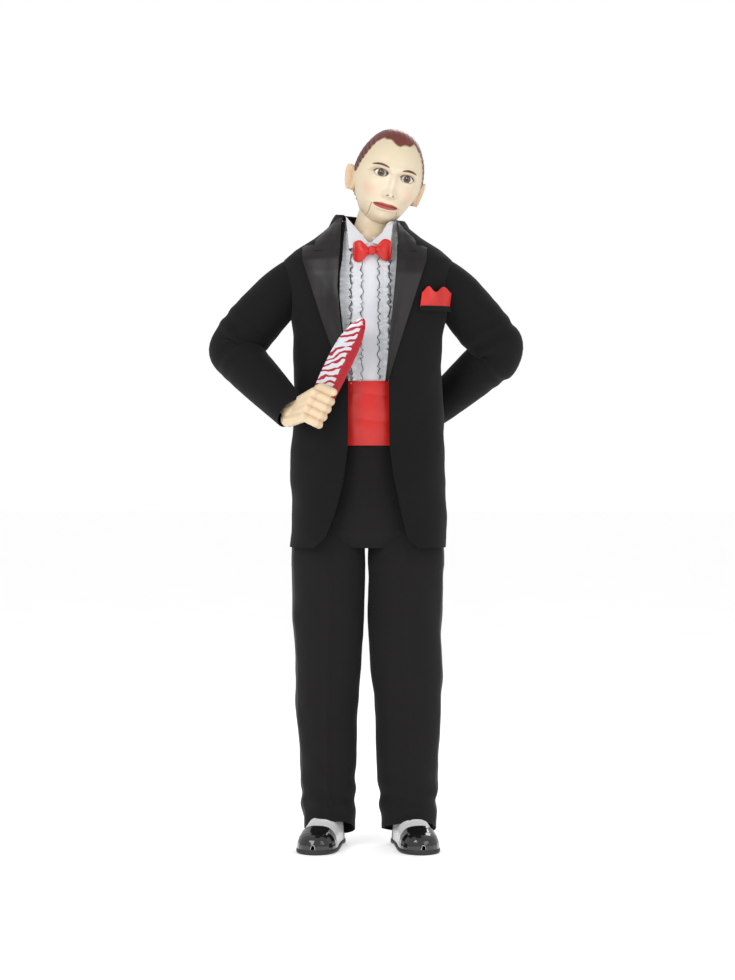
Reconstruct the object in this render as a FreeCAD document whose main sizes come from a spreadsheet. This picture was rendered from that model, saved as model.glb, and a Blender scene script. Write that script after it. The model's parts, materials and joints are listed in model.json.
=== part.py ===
import FreeCAD, Part
import Sketcher
import math
import os

# Ventriloquist's dummy, 1.07 m tall: hollow body, head on a stick with levers, jointed
# arms and legs, and the dinner suit it wears. Millimetres, +Z up, face towards -Y.
# The origin ends up on the floor under the middle of the figure's bounding box.

os.makedirs("parts", exist_ok=True)
doc = FreeCAD.newDocument("dummy")
V = FreeCAD.Vector
X, Y, Z = V(1, 0, 0), V(0, 1, 0), V(0, 0, 1)
SIDES = (("right", -1), ("left", 1))

# ---------------------------------------------------------------- driving sizes
# the face keeps the usual rules of proportion: eyes halfway up the head and one eye's width
# apart, hairline, brows, nose base and chin in equal thirds, mouth a third below the nose
SIZES = {
    "mid_x": 4,
    "wall": 5, "cloth": 3, "gap": 0.5, "fit": 0.05,
    "base_z": 500, "board": 12, "shoulder_z": 860,
    "neck_z": 885, "ball_radius": 34, "neck_radius": 19, "neck_top": 51,
    "stick_radius": 8, "stick_length": 150,
    "head_tilt": 14, "head_turned": 10,
    "head_wide": 50, "head_deep": 59, "head_tall": 72.5, "head_mid": 114.5,
    "head_wall": 4, "head_forward": 8, "cover_y": 18,
    "mouth_z": 69.5, "jaw_half": 20, "jaw_front": 34, "jaw_pivot": 88, "jaw_pin": 2,
    "nose_base": 83.5, "ear_z": 104,
    "eye_x": 20, "eye_y": 51, "eye_z": 114.5, "eye_radius": 12, "wire_radius": 1.5,
    "arm_pivot_x": 110, "arm_pivot_z": 852, "upper_arm_length": 146,
    "forearm_length": 157, "arm_radius": 14, "bolt_radius": 4, "sleeve_radius": 28,
    "cuff_radius": 24, "hip_x": 58, "hip_z": 470, "knee_z": 245, "ankle_z": 58,
    "leg_radius": 20, "pin_radius": 3, "thigh_cloth": 50, "knee_cloth": 44,
    "hem_cloth": 39, "hem_z": 42, "sole": 8, "shoe_length": 150, "toe_out": 10,
    "hand_scale": 1.2, "blade_length": 148, "blade_width": 38, "blade_thick": 3,
    "opening_half": 45, "opening_low": 640, "opening_high": 775,
}
sheet = doc.addObject("Spreadsheet::Sheet", "Sizes")
for row, (alias, value) in enumerate(SIZES.items(), 1):
    sheet.set("A%d" % row, alias)
    sheet.set("B%d" % row, str(value))
    sheet.setAlias("B%d" % row, alias)
doc.recompute()


def size(alias):
    return float(getattr(sheet, alias))


NODES = []


def node(obj, label, placement=None):
    """Name an object as one subcomponent of the figure."""
    obj.Label = label
    if placement is not None:
        obj.Placement = placement
    NODES.append(obj)
    return obj


def feature(label, shape, placement=None):
    obj = doc.addObject("Part::Feature", label)
    obj.Shape = shape
    return node(obj, label, placement)


# ---------------------------------------------------------------- shape helpers
def box(x0, x1, y0, y1, z0, z1):
    return Part.makeBox(x1 - x0, y1 - y0, z1 - z0, V(x0, y0, z0))


def rod(start, end, radius):
    return Part.makeCylinder(radius, (end - start).Length, start, end - start)


def scaled(shape, scale, centre):
    matrix = FreeCAD.Matrix()
    matrix.scale(*scale)
    result = shape.transformGeometry(matrix)
    result.translate(centre)
    return result


def ring_loft(sections, grow=0.0, centre_x=0.0):
    """Solid through ellipses given as (z, half width, half depth, centre y)."""
    wires = []
    for z, half_x, half_y, y in sections:
        ring = scaled(Part.makeCircle(1.0), (half_x + grow, half_y + grow, 1.0), V(centre_x, y, z))
        wires.append(Part.Wire(ring))
    return Part.makeLoft(wires, True, True)


def egg(centre, radii, steps=9):
    """Closed egg form through level rings, blunt at its top and bottom."""
    sections = []
    for step in range(steps):
        angle = math.radians(-80 + 160 * step / (steps - 1))
        sections.append((centre.z + radii[2] * math.sin(angle), radii[0] * math.cos(angle),
                         radii[1] * math.cos(angle), centre.y))
    return ring_loft(sections, 0, centre.x)


def slice_z(shape, low, high):
    return shape.common(box(-400, 400, -400, 400, low, high))


def limb_frame(start, end, hinge):
    """Placement whose -Z runs from start to end and whose X is the hinge axis."""
    z = (start - end).normalize()
    x = V(hinge).normalize()
    y = z.cross(x)
    matrix = FreeCAD.Matrix(x.x, y.x, z.x, start.x, x.y, y.y, z.y, start.y,
                            x.z, y.z, z.z, start.z, 0, 0, 0, 1)
    return FreeCAD.Placement(matrix)


TONGUE, EYE_RADIUS, CHEEK = 10.0, 11.0, 7.0


def tongue_end(pivot_z, reach_z, pin):
    """Flat eye on the end of a limb, bored along X to turn on a pin."""
    half = TONGUE / 2
    eye = rod(V(-half, 0, pivot_z), V(half, 0, pivot_z), EYE_RADIUS)
    low, high = sorted((pivot_z, reach_z))
    eye = eye.fuse(box(-half, half, -EYE_RADIUS, EYE_RADIUS, low, high))
    return eye, rod(V(-30, 0, pivot_z), V(30, 0, pivot_z), pin + size("fit"))


def fork_end(pivot_z, reach_z, pin):
    """Two cheeks that hold a pin along X, with the slot the flat eye turns in."""
    half = TONGUE / 2 + size("gap") + CHEEK
    fork = rod(V(-half, 0, pivot_z), V(half, 0, pivot_z), EYE_RADIUS)
    low, high = sorted((pivot_z, reach_z))
    fork = fork.fuse(box(-half, half, -EYE_RADIUS, EYE_RADIUS, low, high))
    slot_half = TONGUE / 2 + size("gap")
    slot_end = EYE_RADIUS + 3
    slot = box(-slot_half, slot_half, -40, 40, pivot_z - slot_end, pivot_z + slot_end)
    return fork.cut(slot), rod(V(-30, 0, pivot_z), V(30, 0, pivot_z), pin)


def limb(length, radius, pin, top):
    """Turned wooden limb: eye or nothing at the top pivot, fork at the lower pivot."""
    reach = EYE_RADIUS + 4
    core = rod(V(0, 0, -reach), V(0, 0, -length + reach + 3), radius)
    fork, fork_bore = fork_end(-length, -length + reach + 3, pin)
    shape = core.fuse(fork)
    if top:
        eye, eye_bore = tongue_end(0, -reach - 2, pin)
        shape = shape.fuse(eye).cut(eye_bore)
    return shape.cut(fork_bore)


def tube(sections, thickness):
    """Soft sleeve of round sections given as (z, radius)."""
    outer = [V(r, 0, z) for z, r in sections]
    inner = [V(r - thickness, 0, z) for z, r in reversed(sections)]
    profile = Part.Face(Part.makePolygon(outer + inner + outer[:1]))
    return profile.revolve(V(0, 0, 0), Z, 360)


# ---------------------------------------------------------------- sketch helpers
def sketch_in(body, name, role):
    plane = [f for f in body.Origin.OriginFeatures if f.Role == role][0]
    sketch = body.newObject("Sketcher::SketchObject", name)
    sketch.AttachmentSupport = [(plane, "")]
    sketch.MapMode = "FlatFace"
    return sketch


def add_outline(sketch, points):
    for (x0, y0), (x1, y1) in zip(points, points[1:] + points[:1]):
        sketch.addGeometry(Part.LineSegment(V(x0, y0, 0), V(x1, y1, 0)), False)


def add_circle(sketch, x, y, radius, alias=None):
    index = sketch.addGeometry(Part.Circle(V(x, y, 0), Z, radius), False)
    if alias:
        constraint = sketch.addConstraint(Sketcher.Constraint("Radius", index, radius))
        sketch.setExpression("Constraints[%d]" % constraint, alias)


def padded_body(label, role, draw, length, expression=None, both=False):
    body = doc.addObject("PartDesign::Body", label)
    sketch = sketch_in(body, label + "_outline", role)
    draw(sketch)
    pad = body.newObject("PartDesign::Pad", label + "_pad")
    pad.Profile = sketch
    pad.Length = length
    pad.Midplane = both
    if expression:
        pad.setExpression("Length", expression)
    sketch.Visibility = False
    doc.recompute()
    return body


# ---------------------------------------------------------------- body shell
mid = size("mid_x")
base_z, board, shoulder_z = size("base_z"), size("board"), size("shoulder_z")
wall, cloth, gap = size("wall"), size("cloth"), size("gap")
low, high, half = size("opening_low"), size("opening_high"), size("opening_half")
shoulder = {name: V(mid + sign * size("arm_pivot_x"), 0, size("arm_pivot_z"))
            for name, sign in SIDES}

TORSO = [(base_z, 76, 48, 0), (600, 70, 44, 0), (700, 78, 50, 0), (800, 88, 54, 0),
         (shoulder_z, 80, 48, 0)]
torso_skin = ring_loft(TORSO, 0, mid).cut(ring_loft(TORSO, -wall, mid))
torso_skin = slice_z(torso_skin, base_z + board, shoulder_z)
bolts = []
for name, sign in SIDES:
    pivot = shoulder[name]
    inner = V(pivot.x - sign * 42, 0, pivot.z)
    outer = V(pivot.x + sign * 22, 0, pivot.z)
    shaft = rod(inner, outer, size("bolt_radius"))
    torso_skin = torso_skin.cut(shaft)
    bolts.append(shaft.fuse(rod(outer, outer + V(sign * 5, 0, 0), 9)).removeSplitter())
back_opening = box(mid - half, mid + half, 0, 200, low, high)
feature("torso_front_shell", torso_skin.common(box(-300, 300, -200, 0, 0, 1000)))
feature("torso_back_shell",
        torso_skin.common(box(-300, 300, 0, 200, 0, 1000)).cut(back_opening))
feature("shoulder_bolts", Part.makeCompound(bolts))

ball_centre = V(mid, 0, size("neck_z"))
top_plate = slice_z(ring_loft([(shoulder_z, 82, 50, 0), (shoulder_z + board, 76, 44, 0)], 0, mid),
                    shoulder_z, shoulder_z + board)
cup = Part.makeSphere(size("ball_radius") + gap, ball_centre)
feature("shoulder_board", top_plate.cut(cup))


def draw_base(sketch):
    sketch.addGeometry(Part.Ellipse(V(mid, 0, 0), 76, 48), False)


base_board = padded_body("base_board", "XY_Plane", draw_base, board, "Sizes.board")
node(base_board, "base_board", FreeCAD.Placement(V(0, 0, base_z), FreeCAD.Rotation()))

# ---------------------------------------------------------------- shirt and suit on the body
shirt = ring_loft(TORSO, gap + cloth, mid).cut(ring_loft(TORSO, gap, mid))
shirt = shirt.common(box(mid - 62, mid + 62, -200, -8, 692, shoulder_z))
feature("shirt_front", shirt)
band = ring_loft(TORSO, gap + 2 * cloth, mid).cut(ring_loft(TORSO, gap, mid))
feature("cummerbund", band.common(box(-200, 200, -200, 0, 598, 690)))
seat = ring_loft(TORSO, gap + 1.5 * cloth, mid).cut(ring_loft(TORSO, gap, mid))
feature("trouser_seat", slice_z(seat, 528, 596))

collar_low = shoulder_z + board + 16
collar = rod(V(mid, 0, collar_low), V(mid, 0, 960), 41).cut(
    rod(V(mid, 0, collar_low - 1), V(mid, 0, 961), 37))
above = box(-200, 200, -200, 200, 0, 200)
above.rotate(V(0, 0, 0), Y, size("head_tilt"))
above.translate(V(mid, 0, 925))
collar = collar.cut(above).cut(box(mid - 8, mid + 8, -60, 0, 900, 960))
collar = collar.cut(box(-60, 60, -60, -22, 905, 960))
feature("shirt_collar", collar)
tie_y, tie_z = -53, 884
tie = Part.makeSphere(6, V(mid + 4, tie_y, tie_z))
for name, sign in SIDES:
    wing = [V(mid + 4, tie_y, tie_z - 4), V(mid + 4, tie_y, tie_z + 4),
            V(mid + 4 + sign * 29, tie_y, tie_z + 14), V(mid + 4 + sign * 29, tie_y, tie_z - 14)]
    face = Part.Face(Part.makePolygon(wing + wing[:1]))
    tie = tie.fuse(face.extrude(V(0, 7, 0)))
feature("bow_tie", tie)

JACKET = [(545, 114, 76, 0), (640, 106, 70, 0), (740, 106, 70, 0), (810, 108, 70, 0),
          (850, 106, 62, 0), (880, 88, 56, 0), (906, 58, 50, 0)]
jacket = ring_loft(JACKET, 0, mid).cut(ring_loft(JACKET, -cloth, mid))
jacket = jacket.cut(box(mid - 46, mid + 46, -200, 0, 500, 1000)).cut(back_opening)
for name, sign in SIDES:
    pivot = shoulder[name]
    inner = V(mid + sign * 70, 0, pivot.z)
    jacket = jacket.cut(rod(inner, inner + V(sign * 90, 0, 0), 46))
feature("jacket_body", jacket)
lapel_shell = ring_loft(JACKET, gap + cloth, mid).cut(ring_loft(JACKET, gap, mid))
lapels = []
for name, sign in SIDES:
    corners = [(46, 640), (50, 700), (92, 832), (64, 846), (60, 890), (46, 898)]
    points = [V(mid + sign * x, -200, z) for x, z in corners]
    face = Part.Face(Part.makePolygon(points + points[:1]))
    lapels.append(lapel_shell.common(face.extrude(V(0, 195, 0))))
neck_fold = rod(V(mid, 0, 908), V(mid, 0, 928), 52).cut(rod(V(mid, 0, 907), V(mid, 0, 929), 47))
lapels.append(neck_fold.cut(above).cut(box(-200, 200, -60, 0, 900, 960)))
feature("jacket_lapels", Part.makeCompound(lapels))
pocket_face = Part.Face(Part.makePolygon([V(mid + x, -200, z) for x, z in (
    (70, 792), (102, 792), (103, 812), (94, 806), (84, 816), (70, 808), (70, 792))]))
pocket = ring_loft(JACKET, 2 * cloth, mid).cut(ring_loft(JACKET, gap, mid))
pocket = pocket.common(pocket_face.extrude(V(0, 198, 0)))
feature("pocket_square", pocket.cut(Part.makeCompound(lapels)))

# ---------------------------------------------------------------- head on its stick
HEAD = FreeCAD.Placement(ball_centre, FreeCAD.Rotation(Y, size("head_tilt")).multiply(
    FreeCAD.Rotation(Z, size("head_turned"))))
head_centre = V(0, -size("head_forward"), size("head_mid"))
head_radii = (size("head_wide"), size("head_deep"), size("head_tall"))
hollow_radii = tuple(r - size("head_wall") for r in head_radii)
head_outer = egg(head_centre, head_radii)
head_hollow = egg(head_centre, hollow_radii)
jaw_half, pivot_z = size("jaw_half"), size("jaw_pivot")
stick, neck_r = size("stick_radius"), size("neck_radius")

neck = Part.makeSphere(size("ball_radius")).fuse(rod(V(0, 0, 0), V(0, 0, size("neck_top")), neck_r))
neck = neck.cut(rod(V(0, 0, -60), V(0, 0, 80), stick))
feature("neck", neck, HEAD)


def draw_stick(sketch):
    add_circle(sketch, 0, 0, stick, "Sizes.stick_radius")


stick_span = size("stick_length") + size("neck_top")
headstick = padded_body("headstick", "XY_Plane", draw_stick, stick_span,
                        "Sizes.stick_length + Sizes.neck_top")
node(headstick, "headstick",
     HEAD.multiply(FreeCAD.Placement(V(0, 0, -size("stick_length")), FreeCAD.Rotation())))

base = size("nose_base")
nose = ring_loft([(base, 7, 8, -66), (base + 6, 8, 11, -66), (base + 19, 5, 6, -64),
                  (size("eye_z"), 3, 3, -61)])
mask = head_outer.fuse(nose)
for name, sign in SIDES:
    mask = mask.fuse(rod(V(sign * 46, 2, size("ear_z")), V(sign * 54, 2, size("ear_z")), 15))
mask = mask.cut(head_hollow)
mask = mask.cut(rod(V(0, 0, 40), V(0, 0, 60), neck_r))
eyes = [V(sign * size("eye_x"), -size("eye_y"), size("eye_z")) for name, sign in SIDES]
for centre in eyes:
    mask = mask.cut(Part.makeSphere(size("eye_radius") + gap, centre))
slot_half, mouth = jaw_half + 0.8, size("mouth_z")
mask = mask.cut(box(-slot_half, slot_half, -100, 3 - neck_r, 30, mouth + 0.8))
jaw_axle = rod(V(-43, 0, pivot_z), V(43, 0, pivot_z), size("jaw_pin"))
mask = mask.cut(jaw_axle)
cover_y = size("cover_y")
feature("head_shell", mask.common(box(-100, 100, -150, cover_y, 0, 300)), HEAD)
feature("head_rear_cover", mask.common(box(-100, 100, cover_y, 150, 0, 300)), HEAD)

axle = doc.addObject("Part::Cylinder", "jaw_axle")
axle.setExpression("Radius", "Sizes.jaw_pin")
axle.Height = 86
node(axle, "jaw_axle", HEAD.multiply(FreeCAD.Placement(V(-43, 0, pivot_z), FreeCAD.Rotation(Y, 90))))

jaw = head_outer.cut(head_hollow)
jaw = jaw.common(box(-jaw_half, jaw_half, -100, -size("jaw_front"), 30, mouth))
for name, sign in SIDES:
    x0, x1 = sorted((sign * 13, sign * 17))
    jaw = jaw.fuse(box(x0, x1, -52, 5, mouth - 12, mouth - 2).common(head_outer))
    jaw = jaw.fuse(box(x0, x1, -5, 5, mouth - 12, pivot_z + 5))
jaw = jaw.cut(rod(V(-40, 0, pivot_z), V(40, 0, pivot_z), size("jaw_pin") + size("fit")))
feature("jaw", jaw, HEAD)

eye_z, wire = size("eye_z"), size("wire_radius")
wires = []
plates = box(-60, 60, -58, -38, eye_z - 18, eye_z - 15).fuse(
    box(-60, 60, -58, -38, eye_z + 15, eye_z + 18))
plates = plates.common(head_hollow)
for (name, sign), centre in zip(SIDES, eyes):
    pin = rod(V(centre.x, centre.y, eye_z - 18), V(centre.x, centre.y, eye_z + 18), wire)
    wires.append(pin)
    plates = plates.cut(pin)
    ball = Part.makeSphere(size("eye_radius"), centre)
    bore = rod(centre - V(0, 0, 20), centre + V(0, 0, 20), wire + size("fit"))
    feature("eye_" + name, ball.cut(bore), HEAD)
feature("eye_plates", Part.makeCompound(plates.Solids), HEAD)

# lever block on the stick: jaw lever turns on X, eye lever below it turns on Z
lever_y, jaw_lever_z, eye_lever_z = 19, -88, -112
block = box(-11, 11, -11, 11, -122, -80).cut(rod(V(0, 0, -130), V(0, 0, -70), stick))
for sign in (-1, 1):
    x0, x1 = sorted((sign * 4.5, sign * 8))
    block = block.fuse(box(x0, x1, 10, 26, jaw_lever_z - 7, jaw_lever_z + 7))
    z0, z1 = sorted((sign * 3, sign * 6))
    block = block.fuse(box(-8, 8, 10, 26, eye_lever_z + z0, eye_lever_z + z1))
jaw_pin_rod = rod(V(-8, lever_y, jaw_lever_z), V(8, lever_y, jaw_lever_z), wire)
eye_pin_rod = rod(V(0, lever_y, eye_lever_z - 6), V(0, lever_y, eye_lever_z + 6), wire)
block = block.cut(jaw_pin_rod).cut(eye_pin_rod)
feature("lever_block", block, HEAD)
feature("mechanism_pins", Part.makeCompound(wires + [jaw_pin_rod, eye_pin_rod]), HEAD)

LEVER = [(-4, -4), (18, -2.5), (20, -5), (23, -5), (23, 5), (20, 5), (18, 2.5), (-4, 4)]


def draw_lever(sketch):
    add_outline(sketch, [(x, y) for x, y in LEVER])
    add_circle(sketch, 0, 0, wire + size("fit"), "Sizes.wire_radius + Sizes.fit")


jaw_lever = padded_body("jaw_lever", "XY_Plane", draw_lever, 8, None, True)
turned = FreeCAD.Placement(V(0, lever_y, jaw_lever_z), FreeCAD.Rotation(V(0, 1, 0), V(0, 0, 1), X))
node(jaw_lever, "jaw_lever", HEAD.multiply(turned))
eye_lever = padded_body("eye_lever", "XY_Plane", draw_lever, 5, None, True)
turned = FreeCAD.Placement(V(0, lever_y, eye_lever_z), FreeCAD.Rotation(Z, 90))
node(eye_lever, "eye_lever", HEAD.multiply(turned))

# ---------------------------------------------------------------- arms and knife
# toy knife: its blade points up across the chest, with its flat side to the front
blade_aim = V(62, -4, 128).normalize()
flat_side = V(-0.2, -1, 0)
flat_side = (flat_side - blade_aim * flat_side.dot(blade_aim)).normalize()
knife_rotation = FreeCAD.Rotation(blade_aim.cross(flat_side), blade_aim, flat_side, "ZYX")
handle = rod(V(0, -24, 0), V(0, 22, 0), 5).fuse(rod(V(0, 18, 0), V(0, 22, 0), 8))
long, wide = size("blade_length"), size("blade_width")


def draw_blade(sketch):
    edge = wide / 2
    add_outline(sketch, [(-edge, 22), (edge, 22), (edge, long - 30), (edge * 0.4, long),
                         (-edge * 0.2, long), (-edge, long - 50)])


blade = padded_body("knife_blade", "XY_Plane", draw_blade, size("blade_thick"),
                    "Sizes.blade_thick", True)

ARM_AIM = {"right": V(-94, 10, -110), "left": V(91, 22, -114)}
FOREARM_AIM = {"right": V(90, -80, -94), "left": V(-105, 72, -90)}
HAND_AIM = {"right": V(44, -22, 20), "left": V(-30, 4, -36)}
arm_r, pin_r = size("arm_radius"), size("pin_radius")
upper_len, fore_len = size("upper_arm_length"), size("forearm_length")
for name, sign in SIDES:
    pivot = shoulder[name]
    elbow = pivot + V(ARM_AIM[name]).normalize() * upper_len
    wrist = elbow + V(FOREARM_AIM[name]).normalize() * fore_len
    hinge = ARM_AIM[name].cross(FOREARM_AIM[name])
    upper_frame = limb_frame(pivot, elbow, hinge)
    fore_frame = limb_frame(elbow, wrist, hinge)
    knob = Part.makeSphere(17)
    axis = upper_frame.inverse().Rotation.multVec(X)
    bore = rod(axis * -40, axis * 40, size("bolt_radius") + size("fit"))
    head_room = rod(axis * sign * 21.5, axis * sign * 40, 9.6)
    arm = limb(upper_len, arm_r, pin_r, False).fuse(knob).cut(bore).cut(head_room)
    feature("upper_arm_" + name, arm, upper_frame)
    pin_half = TONGUE / 2 + gap + CHEEK
    pin = doc.addObject("Part::Cylinder", "elbow_pin_" + name)
    pin.setExpression("Radius", "Sizes.pin_radius")
    pin.Height = 2 * pin_half
    pin_place = FreeCAD.Placement(V(-pin_half, 0, -upper_len), FreeCAD.Rotation(Y, 90))
    node(pin, "elbow_pin_" + name, upper_frame.multiply(pin_place))
    reach = EYE_RADIUS + 4
    eye, eye_bore = tongue_end(0, -reach - 2, pin_r)
    rods = rod(V(0, 0, -reach), V(0, 0, -fore_len), arm_r - 1)
    feature("forearm_" + name, rods.fuse(eye).cut(eye_bore), fore_frame)
    sleeve_r, cuff_r = size("sleeve_radius"), size("cuff_radius")
    feature("sleeve_upper_" + name,
            tube([(-48, sleeve_r), (-80, sleeve_r), (34 - upper_len, sleeve_r)], cloth), upper_frame)
    feature("sleeve_lower_" + name,
            tube([(-34, sleeve_r), (-90, sleeve_r), (4 - fore_len, cuff_r)], cloth), fore_frame)
    # hand: palm block on the wrist with four curled fingers and a thumb
    aim = V(HAND_AIM[name]).normalize()
    hand_frame = limb_frame(wrist, wrist + aim, aim.cross(V(0, 0, 1) if sign > 0 else V(0, -1, 0)))
    palm = ring_loft([(-2, 9, 11, 0), (-14, 11, 16, 0), (-36, 11, 18, 0), (-46, 8, 16, 0)])
    palm = palm.fuse(rod(V(0, 0, 0), V(0, 0, -20), 10))
    for finger in range(4):
        y = -14 + 9.2 * finger
        palm = palm.fuse(rod(V(-4, y, -38), V(12, y, -44), 5.2))
        palm = palm.fuse(rod(V(12, y, -44), V(18, y, -26), 4.8))
        palm = palm.fuse(Part.makeSphere(5.2, V(12, y, -44)))
        palm = palm.fuse(Part.makeSphere(4.8, V(18, y, -26)))
    palm = palm.fuse(rod(V(0, -14, -14), V(16, -20, -22), 5.2))
    palm = palm.fuse(Part.makeSphere(5.2, V(16, -20, -22)))
    palm.scale(size("hand_scale"))
    # the hand ends where the forearm and the cuff begin
    taken = rods.fuse(rod(V(0, 0, 4 - fore_len), V(0, 0, -60), cuff_r + 1))
    taken.Placement = hand_frame.inverse().multiply(fore_frame)
    palm = palm.cut(taken)
    if name == "right":
        fist = hand_frame.multVec(V(8, 0, -34) * size("hand_scale"))
        knife_frame = FreeCAD.Placement(fist, knife_rotation)
        thick = size("blade_thick") + 0.6
        slot = Part.makeBox(wide + 0.6, long, thick, V(-wide / 2 - 0.3, 21.7, -thick / 2))
        held = handle.fuse(slot)
        held.Placement = hand_frame.inverse().multiply(knife_frame)
        palm = palm.cut(held)
    feature("hand_" + name, palm, hand_frame)

# toy knife held in the right fist: flat blade and a wooden grip
node(blade, "knife_blade", knife_frame)
feature("knife_handle", handle, knife_frame)

# ---------------------------------------------------------------- legs and shoes
hip_z, knee_z, ankle_z = size("hip_z"), size("knee_z"), size("ankle_z")
leg_r = size("leg_radius")
thigh_len, shin_len = hip_z - knee_z, knee_z - ankle_z
pin_half = TONGUE / 2 + gap + CHEEK
brackets, hip_pins = [], []
for name, sign in SIDES:
    hip_x = mid + sign * size("hip_x")
    at_hip = FreeCAD.Placement(V(hip_x, 0, hip_z), FreeCAD.Rotation())
    at_knee = FreeCAD.Placement(V(hip_x, 0, knee_z), FreeCAD.Rotation())
    fork, bore = fork_end(0, base_z - hip_z, pin_r)
    bracket = fork.cut(bore)
    bracket.Placement = at_hip
    brackets.append(bracket)
    hip_pins.append(rod(V(hip_x - pin_half, 0, hip_z), V(hip_x + pin_half, 0, hip_z), pin_r))
    feature("thigh_" + name, limb(thigh_len, leg_r, pin_r, True), at_hip)
    pin = doc.addObject("Part::Cylinder", "knee_pin_" + name)
    pin.setExpression("Radius", "Sizes.pin_radius")
    pin.Height = 2 * pin_half
    node(pin, "knee_pin_" + name, at_knee.multiply(
        FreeCAD.Placement(V(-pin_half, 0, 0), FreeCAD.Rotation(Y, 90))))
    reach = EYE_RADIUS + 4
    eye, eye_bore = tongue_end(0, -reach - 2, pin_r)
    shin = rod(V(0, 0, -reach), V(0, 0, -shin_len), leg_r - 3)
    feature("shin_" + name, shin.fuse(eye).cut(eye_bore), at_knee)
    thigh_r, knee_r, hem_r = size("thigh_cloth"), size("knee_cloth"), size("hem_cloth")
    feature("trouser_thigh_" + name,
            tube([(-58, thigh_r), (-120, thigh_r - 2), (50 - thigh_len, knee_r)], cloth), at_hip)
    feature("trouser_shin_" + name,
            tube([(-50, knee_r), (-120, knee_r - 3), (size("hem_z") - knee_z, hem_r)], cloth),
            at_knee)
    # shoe: sole, upper with a block inside, and a separate toe cap
    toe = FreeCAD.Placement(V(hip_x + sign * 4, 4, 0), FreeCAD.Rotation(Z, sign * size("toe_out")))
    sole = size("sole")
    heel, tip, edge = 42, 42 - size("shoe_length"), 29
    outline = [(22, heel - 22), (20, heel - 8), (12, heel), (-12, heel), (-20, heel - 8),
               (-22, heel - 22), (-22, -20), (-edge, -56), (-edge + 2, -80), (-16, tip + 8),
               (-7, tip), (7, tip), (16, tip + 8), (edge - 2, -80), (edge, -56), (22, -20)]
    body = padded_body("shoe_sole_" + name, "XY_Plane",
                       lambda sketch: add_outline(sketch, outline), sole, "Sizes.sole")
    node(body, "shoe_sole_" + name, toe)
    upper = ring_loft([(sole, 25, 68, -32), (sole + 12, 26, 69, -32), (sole + 23, 23, 58, -24),
                       (sole + 32, 18, 29, 0), (sole + 50, 17, 24, 4)])
    toe_zone = box(-60, 60, -200, -62, 0, 100)
    feature("shoe_upper_" + name, upper.cut(toe_zone), toe)
    feature("shoe_toe_cap_" + name, upper.common(toe_zone), toe)
feature("hip_brackets", Part.makeCompound(brackets))
feature("hip_pins", Part.makeCompound(hip_pins))
doc.recompute()

# ---------------------------------------------------------------- frame, checks and export
whole = FreeCAD.BoundBox()
for obj in NODES:
    whole.add(obj.Shape.optimalBoundingBox())
shift = V(-whole.Center.x, -whole.Center.y, -whole.ZMin)
for obj in NODES:
    obj.Placement = FreeCAD.Placement(obj.Placement.Base + shift, obj.Placement.Rotation)
doc.recompute()
print("assembly moved by", shift, "size", whole.XLength, whole.YLength, whole.ZLength)
for obj in doc.Objects:
    assert not set(obj.State) & {"Invalid", "Error"}, obj.Label
for obj in NODES:
    shape = obj.Shape
    assert not shape.isNull() and shape.isValid(), obj.Label
    shape.exportStep("parts/%s.step" % obj.Label)
    print(obj.Label, len(shape.Solids), round(shape.Volume))
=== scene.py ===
import bpy
import bmesh
import json
import math
import numpy as np
from mathutils import Matrix, Vector


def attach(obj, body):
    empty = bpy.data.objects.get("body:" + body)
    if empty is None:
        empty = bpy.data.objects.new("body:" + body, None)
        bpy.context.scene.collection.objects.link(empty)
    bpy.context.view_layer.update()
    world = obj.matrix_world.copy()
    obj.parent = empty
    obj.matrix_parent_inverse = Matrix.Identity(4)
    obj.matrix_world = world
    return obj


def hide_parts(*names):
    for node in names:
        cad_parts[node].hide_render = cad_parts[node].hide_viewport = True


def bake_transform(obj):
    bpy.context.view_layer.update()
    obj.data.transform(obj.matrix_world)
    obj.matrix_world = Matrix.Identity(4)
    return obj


# Ventriloquist's figure in a dinner suit. Metres, +Z up, the figure faces -Y.

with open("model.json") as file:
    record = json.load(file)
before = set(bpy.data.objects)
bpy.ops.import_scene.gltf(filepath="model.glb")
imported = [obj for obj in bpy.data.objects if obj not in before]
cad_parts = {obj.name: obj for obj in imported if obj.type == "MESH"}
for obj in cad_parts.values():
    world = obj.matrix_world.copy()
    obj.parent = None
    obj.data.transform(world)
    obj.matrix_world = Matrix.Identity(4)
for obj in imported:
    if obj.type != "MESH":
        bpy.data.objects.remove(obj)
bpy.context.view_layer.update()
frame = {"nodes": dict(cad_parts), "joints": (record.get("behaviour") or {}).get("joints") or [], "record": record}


JOINTS = {joint["name"]: joint for joint in frame["joints"]}
SIDES = (("right", -1), ("left", 1))
TAU = 2 * math.pi


def pivot(name):
    return Vector(JOINTS[name]["pos_m"])


MID = pivot("head_turn")
CX, CY = MID.x, MID.y


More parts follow.
